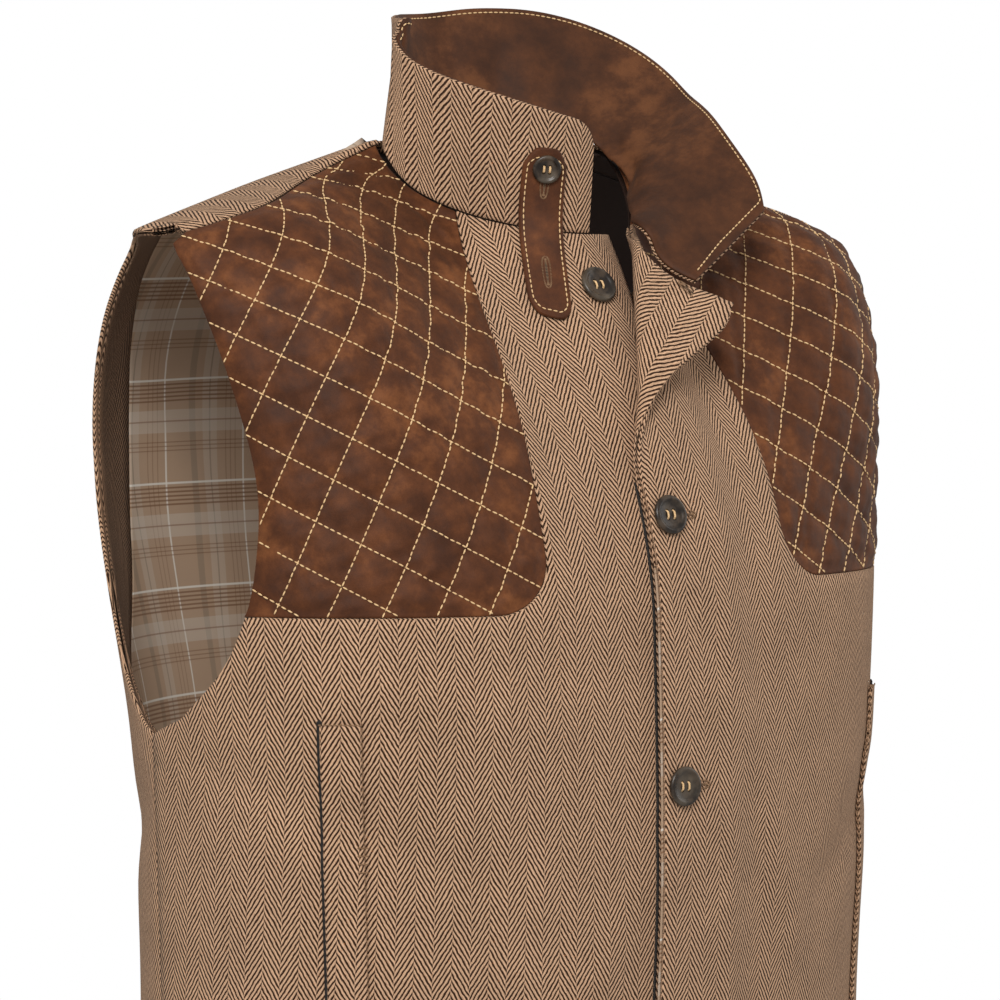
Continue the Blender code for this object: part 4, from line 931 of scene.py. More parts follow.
def new_material(name, roughness, sheen=0.0, shine=0.5):
    """A material's tree, its shader, and its cloth map and object place as values."""
    made = bpy.data.materials.new(name)
    made.use_nodes = True
    tree = made.node_tree
    shader = tree.nodes["Principled BSDF"]
    shader.inputs["Roughness"].default_value = roughness
    shader.inputs["Specular IOR Level"].default_value = shine
    shader.inputs["Sheen Weight"].default_value = sheen
    shader.inputs["Sheen Roughness"].default_value = 0.5
    shader.inputs["Sheen Tint"].default_value = (1.0, 0.85, 0.7, 1.0)
    place = tree.nodes.new("ShaderNodeTexCoord").outputs["Object"]
    cloth = tree.nodes.new("ShaderNodeUVMap")
    cloth.uv_map = "cloth"
    return made, shader, Value(tree, place), Value(tree, cloth.outputs[0])


def finish_material(shader, base, bump=None, distance=0.0, strength=1.0, roughness=None):
    base.tree.links.new(base.socket, shader.inputs["Base Color"])
    if roughness:
        base.tree.links.new(roughness.socket, shader.inputs["Roughness"])
    if bump:
        inputs = {"Height": bump, "Distance": distance, "Strength": strength}
        normal = bump.node("ShaderNodeBump", inputs)
        base.tree.links.new(normal.socket, shader.inputs["Normal"])


TWILL_BAND = 0.0096  # a herringbone band's width
TWILL_PITCH = 0.0038  # from one twill line to the next, along the band
TWILL_RISE = 1.62  # how steeply the lines climb


def tweed_material(name, brown, tan):
    """Wool tweed in herringbone: dark and light yarn, dotted by the weave, with rare bright flecks."""
    made, shader, place, cloth = new_material(name, 0.95, 0.05, 0.15)
    wobble = cloth.noise(260.0, 2.0)
    slub = cloth.noise(2100.0, 2.0, 0.6)
    parts = cloth.tree.nodes.new("ShaderNodeSeparateXYZ")
    cloth.tree.links.new(cloth.socket, parts.inputs[0])
    u, v = Value(cloth.tree, parts.outputs[0]), Value(cloth.tree, parts.outputs[1])
    u = u + (wobble - 0.5) * 0.0014
    band = u.math("PINGPONG", TWILL_BAND)
    side = (u / TWILL_BAND).math("FLOOR") % 2.0
    phase = (v + band * TWILL_RISE) / TWILL_PITCH + side * 0.5 + (slub - 0.5) * 0.22
    line = (phase % 1.0).near(0.5, 0.27, 0.10)
    yarn = ((u / 0.00096 + v / 0.0019) % 1.0).near(0.5, 0.34, 0.16)
    tone = place.noise(38.0, 3.0)
    fibre = cloth.noise(5200.0, 2.0, 0.7)
    light = (fibre * 1.6 - 0.3).mixed([c * 0.74 for c in tan], [min(1.0, c * 1.30) for c in tan])
    dark = (fibre * 1.6 - 0.3).mixed([c * 0.55 for c in brown], [c * 1.9 for c in brown])
    base = (line * (0.62 + yarn * 0.38)).mixed(dark, light)
    fleck = cloth.noise(900.0, 0.0).above(0.79, 0.01)
    base = (fleck * 0.55).mixed(base, (0.42, 0.16, 0.06))
    patchy = cloth.noise(330.0, 3.0, 0.65)
    base = base.scaled(0.66 + tone * 0.30 + patchy * 0.38)
    finish_material(shader, base, line * 0.7 + yarn * 0.25 + fibre * 0.4, 0.00050, 0.6)
    return made


def leather_material(name, base, worn, dark):
    """Soft brown suede-like leather: mottled, lighter where it is rubbed, with a fine grain."""
    made, shader, place, _ = new_material(name, 0.66, 0.03, 0.22)
    cloud = place.noise(17.0, 4.0, 0.6)
    spots = place.noise(62.0, 5.0, 0.65)
    grain = place.noise(1500.0, 3.0, 0.6)
    shade = (spots * 0.65 + cloud * 0.35).above(0.5, 0.18).mixed(dark, base)
    shade = ((spots * cloud).above(0.34, 0.09) * 0.6).mixed(shade, worn)
    shade = shade.scaled(0.86 + grain * 0.28)
    wrinkle = place.noise(210.0, 3.0, 0.6)
    finish_material(shader, shade, grain * 0.5 + wrinkle * 0.9, 0.0006, 0.35, 0.58 + spots * 0.16)
    return made


PLAID_DOWN = 0.0570  # the check's repeat down the cloth
PLAID_ROUND = 0.0640  # and round it
PLAID_LINES = [
    # place in the repeat, half width, strength, lighter or darker
    (0.06, 0.006, 0.55, "brown"),
    (0.10, 0.006, 0.55, "brown"),
    (0.14, 0.006, 0.55, "brown"),
    (0.34, 0.110, 0.34, "pale"),
    (0.34, 0.007, 0.60, "brown"),
    (0.54, 0.009, 0.75, "brown"),
    (0.58, 0.009, 0.75, "brown"),
    (0.62, 0.009, 0.75, "brown"),
    (0.66, 0.009, 0.75, "brown"),
    (0.70, 0.009, 0.75, "brown"),
    (0.745, 0.010, 0.80, "white"),
]
PLAID_UP_LINES = [
    # place in the repeat, half width, strength, lighter or darker
    (0.10, 0.010, 0.75, "white"),
    (0.20, 0.006, 0.45, "brown"),
    (0.26, 0.006, 0.45, "brown"),
    (0.32, 0.006, 0.45, "brown"),
    (0.52, 0.090, 0.25, "pale"),
    (0.52, 0.008, 0.60, "dark"),
    (0.74, 0.040, 0.45, "dark"),
]
PLAID_YARNS = {
    "brown": (0.19, 0.085, 0.035),
    "dark": (0.21, 0.165, 0.115),
    "pale": (0.64, 0.58, 0.50),
    "white": (0.80, 0.76, 0.68),
}


NECK_SHADE_Z = -0.085  # above this the lining is painted dark brown: painted shade inside the neck
NECK_SHADE_X = -0.080  # and as far as here towards the right shoulder


def plaid_material(name):
    """Smooth lining in a check of brown, pale and white lines on taupe, with painted shade in plain dark
    brown at the neck.
    """
    made, shader, place, cloth = new_material(name, 0.60, 0.0, 0.3)
    parts = cloth.tree.nodes.new("ShaderNodeSeparateXYZ")
    cloth.tree.links.new(cloth.socket, parts.inputs[0])
    u, v = Value(cloth.tree, parts.outputs[0]), Value(cloth.tree, parts.outputs[1])
    base = place.noise(30.0, 2.0).mixed((0.41, 0.275, 0.178), (0.47, 0.325, 0.215))
    for along, repeat, table in ((u, PLAID_ROUND, PLAID_UP_LINES), (v, PLAID_DOWN, PLAID_LINES)):
        share = (along / repeat) % 1.0
        for middle, half, strength, yarn in table:
            base = (share.near(middle, half, 0.004) * strength).mixed(base, PLAID_YARNS[yarn])
    parts = place.tree.nodes.new("ShaderNodeSeparateXYZ")
    place.tree.links.new(place.socket, parts.inputs[0])
    x, z = Value(place.tree, parts.outputs[0]), Value(place.tree, parts.outputs[2])
    # Painted shade: the lining turns dark brown high inside the neck, from just right of the middle over to
    # the left shoulder.
    painted_neck_shade = x.above(NECK_SHADE_X, 0.004) * z.above(NECK_SHADE_Z, 0.004)
    base = painted_neck_shade.mixed(base, (0.022, 0.0085, 0.0042))
    finish_material(shader, base, place.noise(420.0, 2.0), 0.0002, 0.25)
    return made


def horn_material():
    """Polished dark horn: streaked brown and grey, with lighter clouds here and there."""
    made, shader, place, _ = new_material("horn", 0.34, 0.0, 0.28)
    shader.inputs["Coat Weight"].default_value = 0.12
    shader.inputs["Coat Roughness"].default_value = 0.10
    streak = place.noise(150.0, 4.0, 0.6)
    cloud = place.noise(60.0, 2.0)
    base = streak.above(0.5, 0.14).mixed((0.014, 0.0095, 0.0065), (0.062, 0.042, 0.027))
    base = (cloud.above(0.58, 0.08) * 0.35).mixed(base, (0.17, 0.135, 0.095))
    finish_material(shader, base)
    return made


def thread_material(name, light, dark):
    """Twisted sewing thread."""
    made, shader, place, _ = new_material(name, 0.8)
    finish_material(shader, place.noise(700.0, 1.0).mixed(dark, light))
    return made


TWEED_CLOTH = tweed_material("tweed", (0.023, 0.0092, 0.0042), (0.655, 0.404, 0.247))
# The same tweed made darker for the armhole facings: painted shade inside the armholes.
SHADED_TWEED = tweed_material("tweed_painted_shade", (0.018, 0.0072, 0.0033), (0.300, 0.176, 0.104))
PATCH_LEATHER = leather_material(
    "patch_leather", base=(0.128, 0.039, 0.0110), worn=(0.235, 0.082, 0.025), dark=(0.050, 0.015, 0.0048)
)
COLLAR_LEATHER = leather_material(
    "collar_leather", base=(0.100, 0.033, 0.0105), worn=(0.165, 0.060, 0.020), dark=(0.042, 0.014, 0.0050)
)
PLAID_LINING = plaid_material("plaid_lining")
HORN = horn_material()
STITCH_THREAD = thread_material("stitch_thread", (0.86, 0.60, 0.32), (0.62, 0.38, 0.17))
HOLE_THREAD = thread_material("hole_thread", (0.30, 0.17, 0.085), (0.14, 0.07, 0.03))
# Near-black thread that stands for painted shade: the shadow beside the closing edge, the pocket openings and
# the buttonhole slits.
PAINTED_SHADE = thread_material("painted_shade", (0.012, 0.008, 0.006), (0.008, 0.006, 0.004))
YARN = thread_material("tweed_yarn", (0.34, 0.205, 0.120), (0.150, 0.082, 0.044))


# ---- Sewing ----
# One thread stitch, repeated along a path on the cloth by geometry nodes and then kept as a plain mesh.


def sewing_nodes():
    """The tree that repeats a stitch along a path, and its inputs' identifiers."""
    tree = bpy.data.node_groups.new("sewing", "GeometryNodeTree")
    sockets = {"Geometry": "Geometry", "Pitch": "Float", "Length": "Float", "Thickness": "Float"}
    sockets["Thread"] = "Material"
    known = {}
    for name, kind in sockets.items():
        socket = tree.interface.new_socket(name=name, in_out="INPUT", socket_type="NodeSocket" + kind)
        known[name] = socket.identifier
    tree.interface.new_socket(name="Geometry", in_out="OUTPUT", socket_type="NodeSocketGeometry")
    new, link = tree.nodes.new, tree.links.new
    given, result = new("NodeGroupInput"), new("NodeGroupOutput")
    path, steps = new("GeometryNodeMeshToCurve"), new("GeometryNodeResampleCurve")
    steps.mode = "LENGTH"
    stitch, shape = new("GeometryNodeMeshUVSphere"), new("GeometryNodeTransform")
    stitch.inputs["Segments"].default_value = 6
    stitch.inputs["Rings"].default_value = 4
    stitch.inputs["Radius"].default_value = 0.5
    size, tangent = new("ShaderNodeCombineXYZ"), new("GeometryNodeInputTangent")
    turn = new("FunctionNodeAlignRotationToVector")
    turn.axis = "X"
    sewn, real = new("GeometryNodeInstanceOnPoints"), new("GeometryNodeRealizeInstances")
    thread = new("GeometryNodeSetMaterial")
    link(given.outputs["Geometry"], path.inputs[0])
    link(path.outputs[0], steps.inputs["Curve"])
    link(given.outputs["Pitch"], steps.inputs["Length"])
    link(given.outputs["Length"], size.inputs[0])
    link(given.outputs["Thickness"], size.inputs[1])
    link(given.outputs["Thickness"], size.inputs[2])
    link(stitch.outputs["Mesh"], shape.inputs["Geometry"])
    link(size.outputs[0], shape.inputs["Scale"])
    link(tangent.outputs[0], turn.inputs["Vector"])
    link(steps.outputs[0], sewn.inputs["Points"])
    link(shape.outputs[0], sewn.inputs["Instance"])
    link(turn.outputs[0], sewn.inputs["Rotation"])
    link(sewn.outputs[0], real.inputs[0])
    link(real.outputs[0], thread.inputs["Geometry"])
    link(given.outputs["Thread"], thread.inputs["Material"])
    link(thread.outputs[0], result.inputs[0])
    return tree, known


SEWING, SEWING_SOCKETS = sewing_nodes()


def kept(obj):
    """The object with its modifiers made into a plain mesh."""
    graph = bpy.context.evaluated_depsgraph_get()
    mesh = bpy.data.meshes.new_from_object(obj.evaluated_get(graph))
    obj.modifiers.clear()
    obj.data = mesh
    mesh.shade_smooth()
    return obj


def sew(name, paths, stitch, thread):
    """Stitches along paths of points. A stitch is its pitch, its length and its thickness."""
    points = np.concatenate(paths)
    edges, start = [], 0
    for path in paths:
        edges += [(start + k, start + k + 1) for k in range(len(path) - 1)]
        start += len(path)
    mesh = bpy.data.meshes.new(name)
    mesh.from_pydata(points.tolist(), edges, [])
    obj = bpy.data.objects.new(name, mesh)
    bpy.context.scene.collection.objects.link(obj)
    made = obj.modifiers.new("sewing", "NODES")
    made.node_group = SEWING
    for key, value in zip(("Pitch", "Length", "Thickness", "Thread"), (*stitch, thread)):
        made[SEWING_SOCKETS[key]] = value
    kept(obj)
    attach(obj, "root")
    return obj


# ---- Back ----
# One tweed panel from side seam to side seam, turned in at the neck, armholes and hem.

# From this height up the back's cloth places go by its points, so that the grain runs on straight over the
# shoulders: sideways as at that height, and up along a way in y and z.
OVER_Z = -0.105
OVER_SPREAD = 0.050
OVER_TURN = 1.0
OVER_WAY = (-0.95, 0.30)


def back_place(grid, points):
    """The back's cloth places, which run on straight over the shoulders."""
    turns, heights, around, down = TABLES[math.pi]
    row = int(np.argmin(np.abs(heights - OVER_Z)))
    known = np.abs(turns - math.pi) < OVER_TURN
    across = on_body(turns[known], np.full(known.sum(), OVER_Z))
    order = np.argsort(across[:, 0])
    x = np.clip(points[..., 0], across[:, 0].min(), across[:, 0].max())
    u = np.interp(x, across[order, 0], around[row, known][order])
    u = u + (points[..., 0] - x) * np.sign(around[row, known][order[-1]])
    start = across[len(across) // 2]
    v = (points[..., 1] - start[1]) * OVER_WAY[0] + (points[..., 2] - start[2]) * OVER_WAY[1]
    v = v - down[row, MIDDLE_COLUMN]
    low = cloth_place(grid, math.pi)
    share = smooth((grid[..., 1] - OVER_Z) / OVER_SPREAD)[..., None]
    return low + share * (np.stack([u, v], axis=-1) - low)


back_middle, back_strips = back_grids()
back_sheets = []
for grid in (back_middle, *back_strips):
    inner, outer = layer(grid, LAY[RIGHT], 0.0, TWEED)
    back_sheets.append((inner, outer, back_place(grid, inner)))
cut_from(stands_for(shell("back_cloth", back_sheets, TWEED_CLOTH), "back"), back_sheets)


# ---- Fronts ----
# Two tweed panels cut away under the patches. The left one laps over the right and its corner turns out.

TIP_DRAW = 0.0070  # how far the turned-out corner's tip is drawn in, so that it is round
TIP_SPREAD = 0.0115
KNOT = (0.0016, 0.0021, 0.0014)  # a stitch: pitch, length and thickness
# The painted shadow beside the closing edge: its stitch, and how far aside of the edge it lies.
SHADOW_LINE = (0.0016, 0.0042, 0.0016)
SHADOW_ASIDE = 0.0011 / 0.13

fronts = {side: front_grids(side) for side in (RIGHT, LEFT)}
lapel = fronts[LEFT]["corner"]
cloth_size = np.array((FOLD_GIRTH, 1.0))
from_tip = np.linalg.norm((lapel - lapel[0, 0]) * cloth_size, axis=-1)
inward = unit((lapel[2 * FINE, 2 * FINE] - lapel[0, 0]) * cloth_size) / cloth_size
lapel += (TIP_DRAW * np.exp(-((from_tip / TIP_SPREAD) ** 2)))[..., None] * inward
for side, name in ((RIGHT, "front_right"), (LEFT, "front_left")):
    sheets = [laid(grid, LAY[side], 0.0, TWEED) for grid in fronts[side].values()]
    cut_from(stands_for(shell(name + "_cloth", sheets, TWEED_CLOTH), name), sheets)

low, high = -INSIDE_GAP - FACING, -INSIDE_GAP
sheets = [
    laid(fronts[LEFT]["corner"], lay_left, low, high),
    laid(fronts[LEFT]["beside"], lay_left, low, high, foot=3 * GAP, right=3 * GAP),
]
cut_from(stands_for(shell("facing_left_cloth", sheets, TWEED_CLOTH), "facing_left"), sheets)

# The closing's folded edge is knobbly with yarn, and a dark thread laid on the right front beside it is a
# painted shadow of the edge.
edge = closing_edge(LEFT, ROLL_FOOT[1], HEM_Z, 500)
knots = lay_left(edge[:, 0], edge[:, 1], TWEED * 0.55)
sew("closing_edge_knots", [knots], KNOT, YARN)
shadow = lay(edge[:, 0] - SHADOW_ASIDE, edge[:, 1], TWEED + 0.0002)
sew("closing_edge_shadow", [shadow], SHADOW_LINE, PAINTED_SHADE)


# ---- Armhole facings and lining ----
# A strip of tweed inside each armhole, and a plaid lining inside the fronts and the back, clear of the hem.

for side, name in ((RIGHT, "armhole_facing_right"), (LEFT, "armhole_facing_left")):
    _, beside_patch = under_patch(side, fronts[side])
    front = chain(beside_patch, fronts[side]["underarm"])
    back = back_strips[0][:, ::-1] if side == RIGHT else back_strips[1]
    skins = []
    for lift in (low, high):
        ring = [lay(strip[..., 0], strip[..., 1], lift) for strip in (front, back)]
        skins.append(draw_in(np.concatenate([ring[0][::-1], ring[1][1:]]), left=GAP / 3))
    cloth = np.concatenate([cloth_place(front)[::-1], cloth_place(back, math.pi)[1:]])
    strip = [(*skins, cloth)]
    # The facing's tweed is the darkened copy, as painted shade inside the armhole.
    piece = stands_for(shell(name + "_cloth", strip, SHADED_TWEED), name)
    along = float(runs(skins[0][:, 0])[-1])
    across = np.linalg.norm(np.diff(skins[0], axis=1), axis=2).sum(axis=1).mean()
    float(across * along)

LINING_TOP = {"back": 0.0070, "front": 0.0015}  # how far the lining stays below the neckline
low, high = -INSIDE_GAP - LINING, -INSIDE_GAP
sheets = [lined(back_middle[:-FINE], lay, low, high, math.pi, top=LINING_TOP["back"], left=GAP, right=GAP)]
cut_from(stands_for(shell("lining_back_cloth", sheets, PLAID_LINING), "lining_back"), sheets)
for side, name in ((RIGHT, "lining_right"), (LEFT, "lining_left")):
    grids, put = fronts[side], LAY[side]
    patch, _ = under_patch(side, grids)
    round_way = np.linspace(0, 1, patch.shape[1])[None, :]
    down = np.linspace(0, 1, patch.shape[0])[:, None]
    ease = UNDER_PATCH * np.minimum(1, 4 * round_way) * np.minimum(1, 4 * (1 - down))
    sheets = [
        lined(patch, put, low - ease, high - ease, top=LINING_TOP["front"], right=GAP),
        lined(grids["below"][:-FINE], put, low, high),
        lined(grids["side"][:-FINE], put, low, high),
    ]
    if side == RIGHT:
        sheets.append(lined(grids["beside"], put, low, high, top=LINING_TOP["front"]))
    cut_from(stands_for(shell(name + "_cloth", sheets, PLAID_LINING), name), sheets)


# ---- Shoulder patches ----
# Leather over the front of each shoulder, padded and quilted in squares that stand on a corner. The stitching
# pulls it down in a soft trough, with small puckers along each line.


def quilt_tables():
    """The chest as a flat sheet: heights, turns, the way down the cloth, and round it at each height."""
    heights = np.linspace(0.02, -0.30, 65)
    turns = np.linspace(0, math.radians(125), 161)
    downs = runs(on_body(turn_at(-CHEST_X, heights), heights))
    girths = runs(on_body(-turns[None, :], heights[:, None])[..., :2])
    return heights, turns, downs, girths


def flat_from_place(edge):
    """Places of one side as distances (round, down) on the flat sheet."""
    heights, turns, downs, girths = quilt_tables()
    row = np.interp(-edge[:, 1], -heights, np.arange(len(heights)))
    k = np.minimum(row.astype(int), len(heights) - 2)
    flat = []
    for place, at, r in zip(edge, k, row):
        near = [np.interp(abs(place[0]), turns, girths[j]) for j in (at, at + 1)]
        down = np.interp(r, np.arange(len(heights)), downs)
        flat.append((near[0] + (r - at) * (near[1] - near[0]), down))
    return np.array(flat)


def place_from_flat(side, flat):
    heights, turns, downs, girths = quilt_tables()
    row = np.interp(flat[:, 1], downs, np.arange(len(heights)))
    k = np.minimum(row.astype(int), len(heights) - 2)
    turn = []
    for round_way, at, r in zip(flat[:, 0], k, row):
        near = [np.interp(round_way, girths[j], turns) for j in (at, at + 1)]
        turn.append(near[0] + (r - at) * (near[1] - near[0]))
    return places(side * np.array(turn), np.interp(row, np.arange(len(heights)), heights))


def outline_distance(points, outline):
    """How far each flat point is from the outline."""
    nearest = np.full(len(points), 1.0)
    for a, b in zip(outline, np.roll(outline, -1, axis=0)):
        way = b - a
        share = np.clip((points - a) @ way / np.dot(way, way), 0, 1)
        nearest = np.minimum(nearest, np.linalg.norm(points - a - share[:, None] * way, axis=1))
    return nearest


PUCKERS = [
    # wave numbers round and down per metre, phase, share
    (610, 240, 0.4, 0.9),
    (-380, 520, 1.9, 0.8),
    (170, -760, 3.1, 0.7),
    (930, 410, 4.4, 0.5),
    (-820, -350, 0.9, 0.5),
    (90, 330, 2.2, 1.2),
]
PUCKER_RISE = 0.00028
PUCKER_REACH = 0.005
QUILTING = (0.0034, 0.0032, 0.00092)  # a stitch: pitch, length and thickness
QUILTING_REACH = 0.24  # how far a line of quilting may run from the pattern's middle
QUILTING_INSET = 0.0012
QUILTING_LIFT = 0.0004


def quilt_shares(side, flat):
    """Places on the flat patch as counts of quilting squares, both ways."""
    c, s = math.cos(QUILT_SLANT), math.sin(QUILT_SLANT)
    x, y = side * (flat[..., 0] - QUILT_MIDDLE[0]), QUILT_MIDDLE[1] - flat[..., 1]
    return (x * c + y * s) / QUILT_CELL, (y * c - x * s) / QUILT_CELL


def quilt_rise(side, flat, outline):
    """How far the padding stands here: a pillow in each square, and small puckers."""
    a, b = quilt_shares(side, flat)
    pillow = np.abs(np.sin(math.pi * a) * np.sin(math.pi * b)) ** 0.75
    waves = 0.0
    for round_way, down, phase, share in PUCKERS:
        waves = waves + share * np.sin(round_way * flat[:, 0] + down * flat[:, 1] + phase)
    from_line = np.minimum(np.abs(a - np.round(a)), np.abs(b - np.round(b))) * QUILT_CELL
    near_line = np.exp(-from_line / PUCKER_REACH)
    rise = QUILT_RISE * pillow + PUCKER_RISE * waves * (0.35 + 0.65 * near_line)
    return rise * smooth(outline_distance(flat, outline) / QUILT_FADE)


def inside(flat, outline):
    """Which flat points are inside the outline."""
    found = np.zeros(len(flat), bool)
    for (ax, ay), (bx, by) in zip(outline, np.roll(outline, -1, axis=0)):
        crosses = (ay > flat[:, 1]) != (by > flat[:, 1])
        at = ax + (flat[:, 1] - ay) * (bx - ax) / np.where(crosses, by - ay, 1.0)
        found ^= crosses & (flat[:, 0] < at)
    return found


PANEL_FINE = FINE
FINE = 12
for side, name in ((RIGHT, "patch_right"), (LEFT, "patch_left")):
    inner, foot = patch_seam(side, PATCH_GAP, (side * math.radians(55), -0.14))
    upper, _, _, _ = front_armhole(side)
    upper[-1] = foot[-1]
    neckline = evenly(front_neckline(side, PATCH_NECK_X, NECK_X, 65), 3 * FINE)
    neckline[0] = inner[0]
    top = chain(neckline, evenly(shoulder_seam(side, "front"), 5 * FINE + 1))
    upper[0] = top[-1]
    grid = between(top, foot, inner, upper)
    outline = flat_from_place(np.concatenate([top, upper[1::4], foot[::-4][1:], inner[::-4][1:-1]]))
    flat = flat_from_place(grid.reshape(-1, 2))
    rise = quilt_rise(side, flat, outline).reshape(grid.shape[:2])
    put = LAY[side]
    inner_skin = put(grid[..., 0], grid[..., 1], np.zeros(grid.shape[:2]))
    outer_skin = put(grid[..., 0], grid[..., 1], LEATHER + rise)
    sheets = [(inner_skin, outer_skin, flat.reshape(*grid.shape[:2], 2) * (1, -1))]
    cut_from(stands_for(shell(name + "_leather", sheets, PATCH_LEATHER), name), sheets)
    lines = []
    steps = np.arange(-QUILTING_REACH, QUILTING_REACH, 0.001)
    whole = steps / QUILT_CELL
    c, s = math.cos(QUILT_SLANT), math.sin(QUILT_SLANT)
    for k in range(-QUILT_CELLS, QUILT_CELLS + 1):
        for a, b in ((whole, np.full(len(steps), k)), (np.full(len(steps), k), whole)):
            x = QUILT_MIDDLE[0] + side * QUILT_CELL * (a * c - b * s)
            y = QUILT_MIDDLE[1] - QUILT_CELL * (a * s + b * c)
            line = np.stack([x, y], axis=1)
            keep = inside(line, outline) & (outline_distance(line, outline) > QUILTING_INSET)
            for stretch in np.split(np.arange(len(line)), np.where(np.diff(keep.astype(int)))[0] + 1):
                if keep[stretch[0]] and len(stretch) > 5:
                    way = line[stretch]
                    place = place_from_flat(side, way)
                    lift = LEATHER + quilt_rise(side, way, outline) + QUILTING_LIFT
                    lines.append(put(place[:, 0], place[:, 1], lift))
    sew(name + "_quilting", lines, QUILTING, STITCH_THREAD)
FINE = PANEL_FINE


# ---- Collar ----
# A standing collar of tweed with leather inside, sewn round the neck. Its left half is folded out, and cream
# thread follows its edge.

# The collar stands on its seam, which runs from the right end (0) over the right neck point (1), the back
# centre (2) and the left neck point (3) to the left end (4). It leans out from upright, towards a turn round
# the body.
COLLAR = [
    # place, lean, towards (degrees), height
    (0.0, 6, -10, 0.056),
    (0.5, 12, -30, 0.066),
    (0.8, 2, -65, 0.066),
    (1.0, -8, -92, 0.064),
    (1.5, 1, -145, 0.066),
    (2.0, 19, -180, 0.074),
    (2.4, 20, -194, 0.078),
    (2.7, 28, -215, 0.080),
    (3.0, 52, -250, 0.079),
    (3.5, 55, -262, 0.077),
    (4.0, 57, -262, 0.074),
]
COLLAR_CORNER = 0.014
COLLAR_GAP = 0.0012
COLLAR_TURNED_GAP = 0.0045
COLLAR_LEANT_RISE = 0.0040
COLLAR_FOLDED_RISE = 0.0030
COLLAR_EASE = 0.030
COLLAR_SOFT_FROM = 2.2


def smooth_rows(points, times):
    """Points softened along the rows, with the two ends kept."""
    for _ in range(times):
        points = points.copy()
        points[1:-1] = (points[:-2] + 2 * points[1:-1] + points[2:]) / 4
    return points


def grid_normals(points):
    across, down = np.gradient(points, axis=1), np.gradient(points, axis=0)
    normal = np.cross(across, down)
    return normal / np.linalg.norm(normal, axis=-1, keepdims=True)


def collar_seam():
    """Along the collar's seam: number, neckline point, the way on, outwards, and a softened point."""
    right = front_neckline(RIGHT, -COLLAR_END_X, NECK_X, 41)
    left = front_neckline(LEFT, NECK_X, -COLLAR_END_X, 41)
    rows = []
    stretches = ((0, right, lay, 1), (1, back_neckline(81), lay, 3), (3, left, lay_left, 4))
    for first, edge, put, last in stretches:
        turn, height = edge[:, 0], edge[:, 1]
        point = put(turn, height, 0.0)
        onward, out = point - put(turn, height - 0.003, 0.0), put(turn, height, 0.001) - point
        length = runs(point)
        number = first + (last - first) * length / length[-1]
        rows.append(np.column_stack([number, point, onward, out])[first > 0 :])
    rows = np.concatenate(rows)
    numbers, points, onward, out = rows[:, 0], rows[:, 1:4], rows[:, 4:7], rows[:, 7:]
    along = unit(np.gradient(points, axis=0))
    onward = unit(onward - along * np.sum(onward * along, axis=1, keepdims=True))
    eased = smooth_rows(points, 150)
    onward, out = unit(smooth_rows(onward, 12)), unit(smooth_rows(unit(out), 12))
    return numbers, smooth_rows(points, 4), onward, out, eased


def softened(surface, numbers, shares, times):
    """The collar's surface without small waves where it leans out: softened along it, above its foot."""
    soft = np.swapaxes(smooth_rows(np.swapaxes(surface, 0, 1), times), 0, 1)
    share = smooth((numbers - COLLAR_SOFT_FROM) / 0.3) * smooth(shares / 0.45)
    return surface + share[..., None] * (soft - surface)


def collar_points(numbers, rises):
    """The collar's surface at these numbers along its seam, and these lengths up it."""
    known, *tables = collar_seam()
    point, way, out, eased = (
        np.stack([np.interp(numbers, known, table[:, k]) for k in range(3)], axis=-1) for table in tables
    )
    lean, towards, _ = read(COLLAR, numbers)
    lean, towards = np.radians(lean), np.radians(towards)
    up = np.stack([np.sin(lean) * np.sin(towards), -np.sin(lean) * np.cos(towards), np.cos(lean)], axis=-1)
    bend = np.linalg.norm(np.cross(way, up), axis=-1, keepdims=True)
    onward = np.sum(way * up, axis=-1, keepdims=True)
    stand = COLLAR_LEANT_RISE * smooth((0.5 - onward) / 0.3)
    stand = stand + COLLAR_FOLDED_RISE * smooth((-onward - 0.15) / 0.35)
    ahead = COLLAR_GAP + COLLAR_TURNED_GAP * smooth((numbers[..., None] - 3.25) / 0.2)
    start = point + way * (ahead + TWEED * bend) + out * stand
    ease = smooth((numbers[..., None] - 3.0) / 0.15) * smooth(rises[..., None] / COLLAR_EASE)
    return start + (eased - point) * ease + up * rises[..., None]


COLLAR_CREASES = [
    # place, lean across the rise, half width, rise
    (2.22, 0.10, 0.075, -0.0012),
    (2.40, 0.16, 0.060, 0.0011),
    (2.56, 0.14, 0.065, -0.0013),
    (2.74, -0.10, 0.070, 0.0009),
    (2.90, -0.16, 0.080, -0.0009),
    (1.75, 0.05, 0.090, -0.0010),
    (1.30, -0.05, 0.080, -0.0008),
    (3.30, 0.05, 0.080, 0.0006),
]


COLLAR_WING = 0.006  # how much taller the folded-out left end is
NAPE_FOOT = 0.0055  # how far the inside leather runs down past the seam round the back of the neck
COLLAR_FOOT = 0.005  # how far the inside leather runs down past the seam at the left neck point


def collar_tall(way, length, known_way, known):
    """The collar's height along its seam, with rounded ends."""
    number = np.interp(way, known_way, known)
    tall = read(COLLAR, number)[2] + COLLAR_WING * smooth((number - 3.15) / 0.5)
    near_end = np.minimum(COLLAR_CORNER, np.minimum(way, length - way))
    return tall - COLLAR_CORNER + np.sqrt(COLLAR_CORNER**2 - (COLLAR_CORNER - near_end) ** 2)


def with_round_ends(bend, corner, length, count):
    """Steps along a strip: close together round the corners of both ends, and even between them."""
    return np.concatenate([bend, np.linspace(corner, length - corner, count)[1:-1], length - bend[::-1]])


def collar_crease(numbers, shares):
    rise = np.zeros(np.shape(numbers))
    for place, lean, half_width, height in COLLAR_CREASES:
        off = (numbers - place - lean * (shares - 0.5)) / half_width
        rise = rise + height * np.exp(-off * off) * smooth(shares * 4) * smooth((0.92 - shares) * 2.5)
    return rise


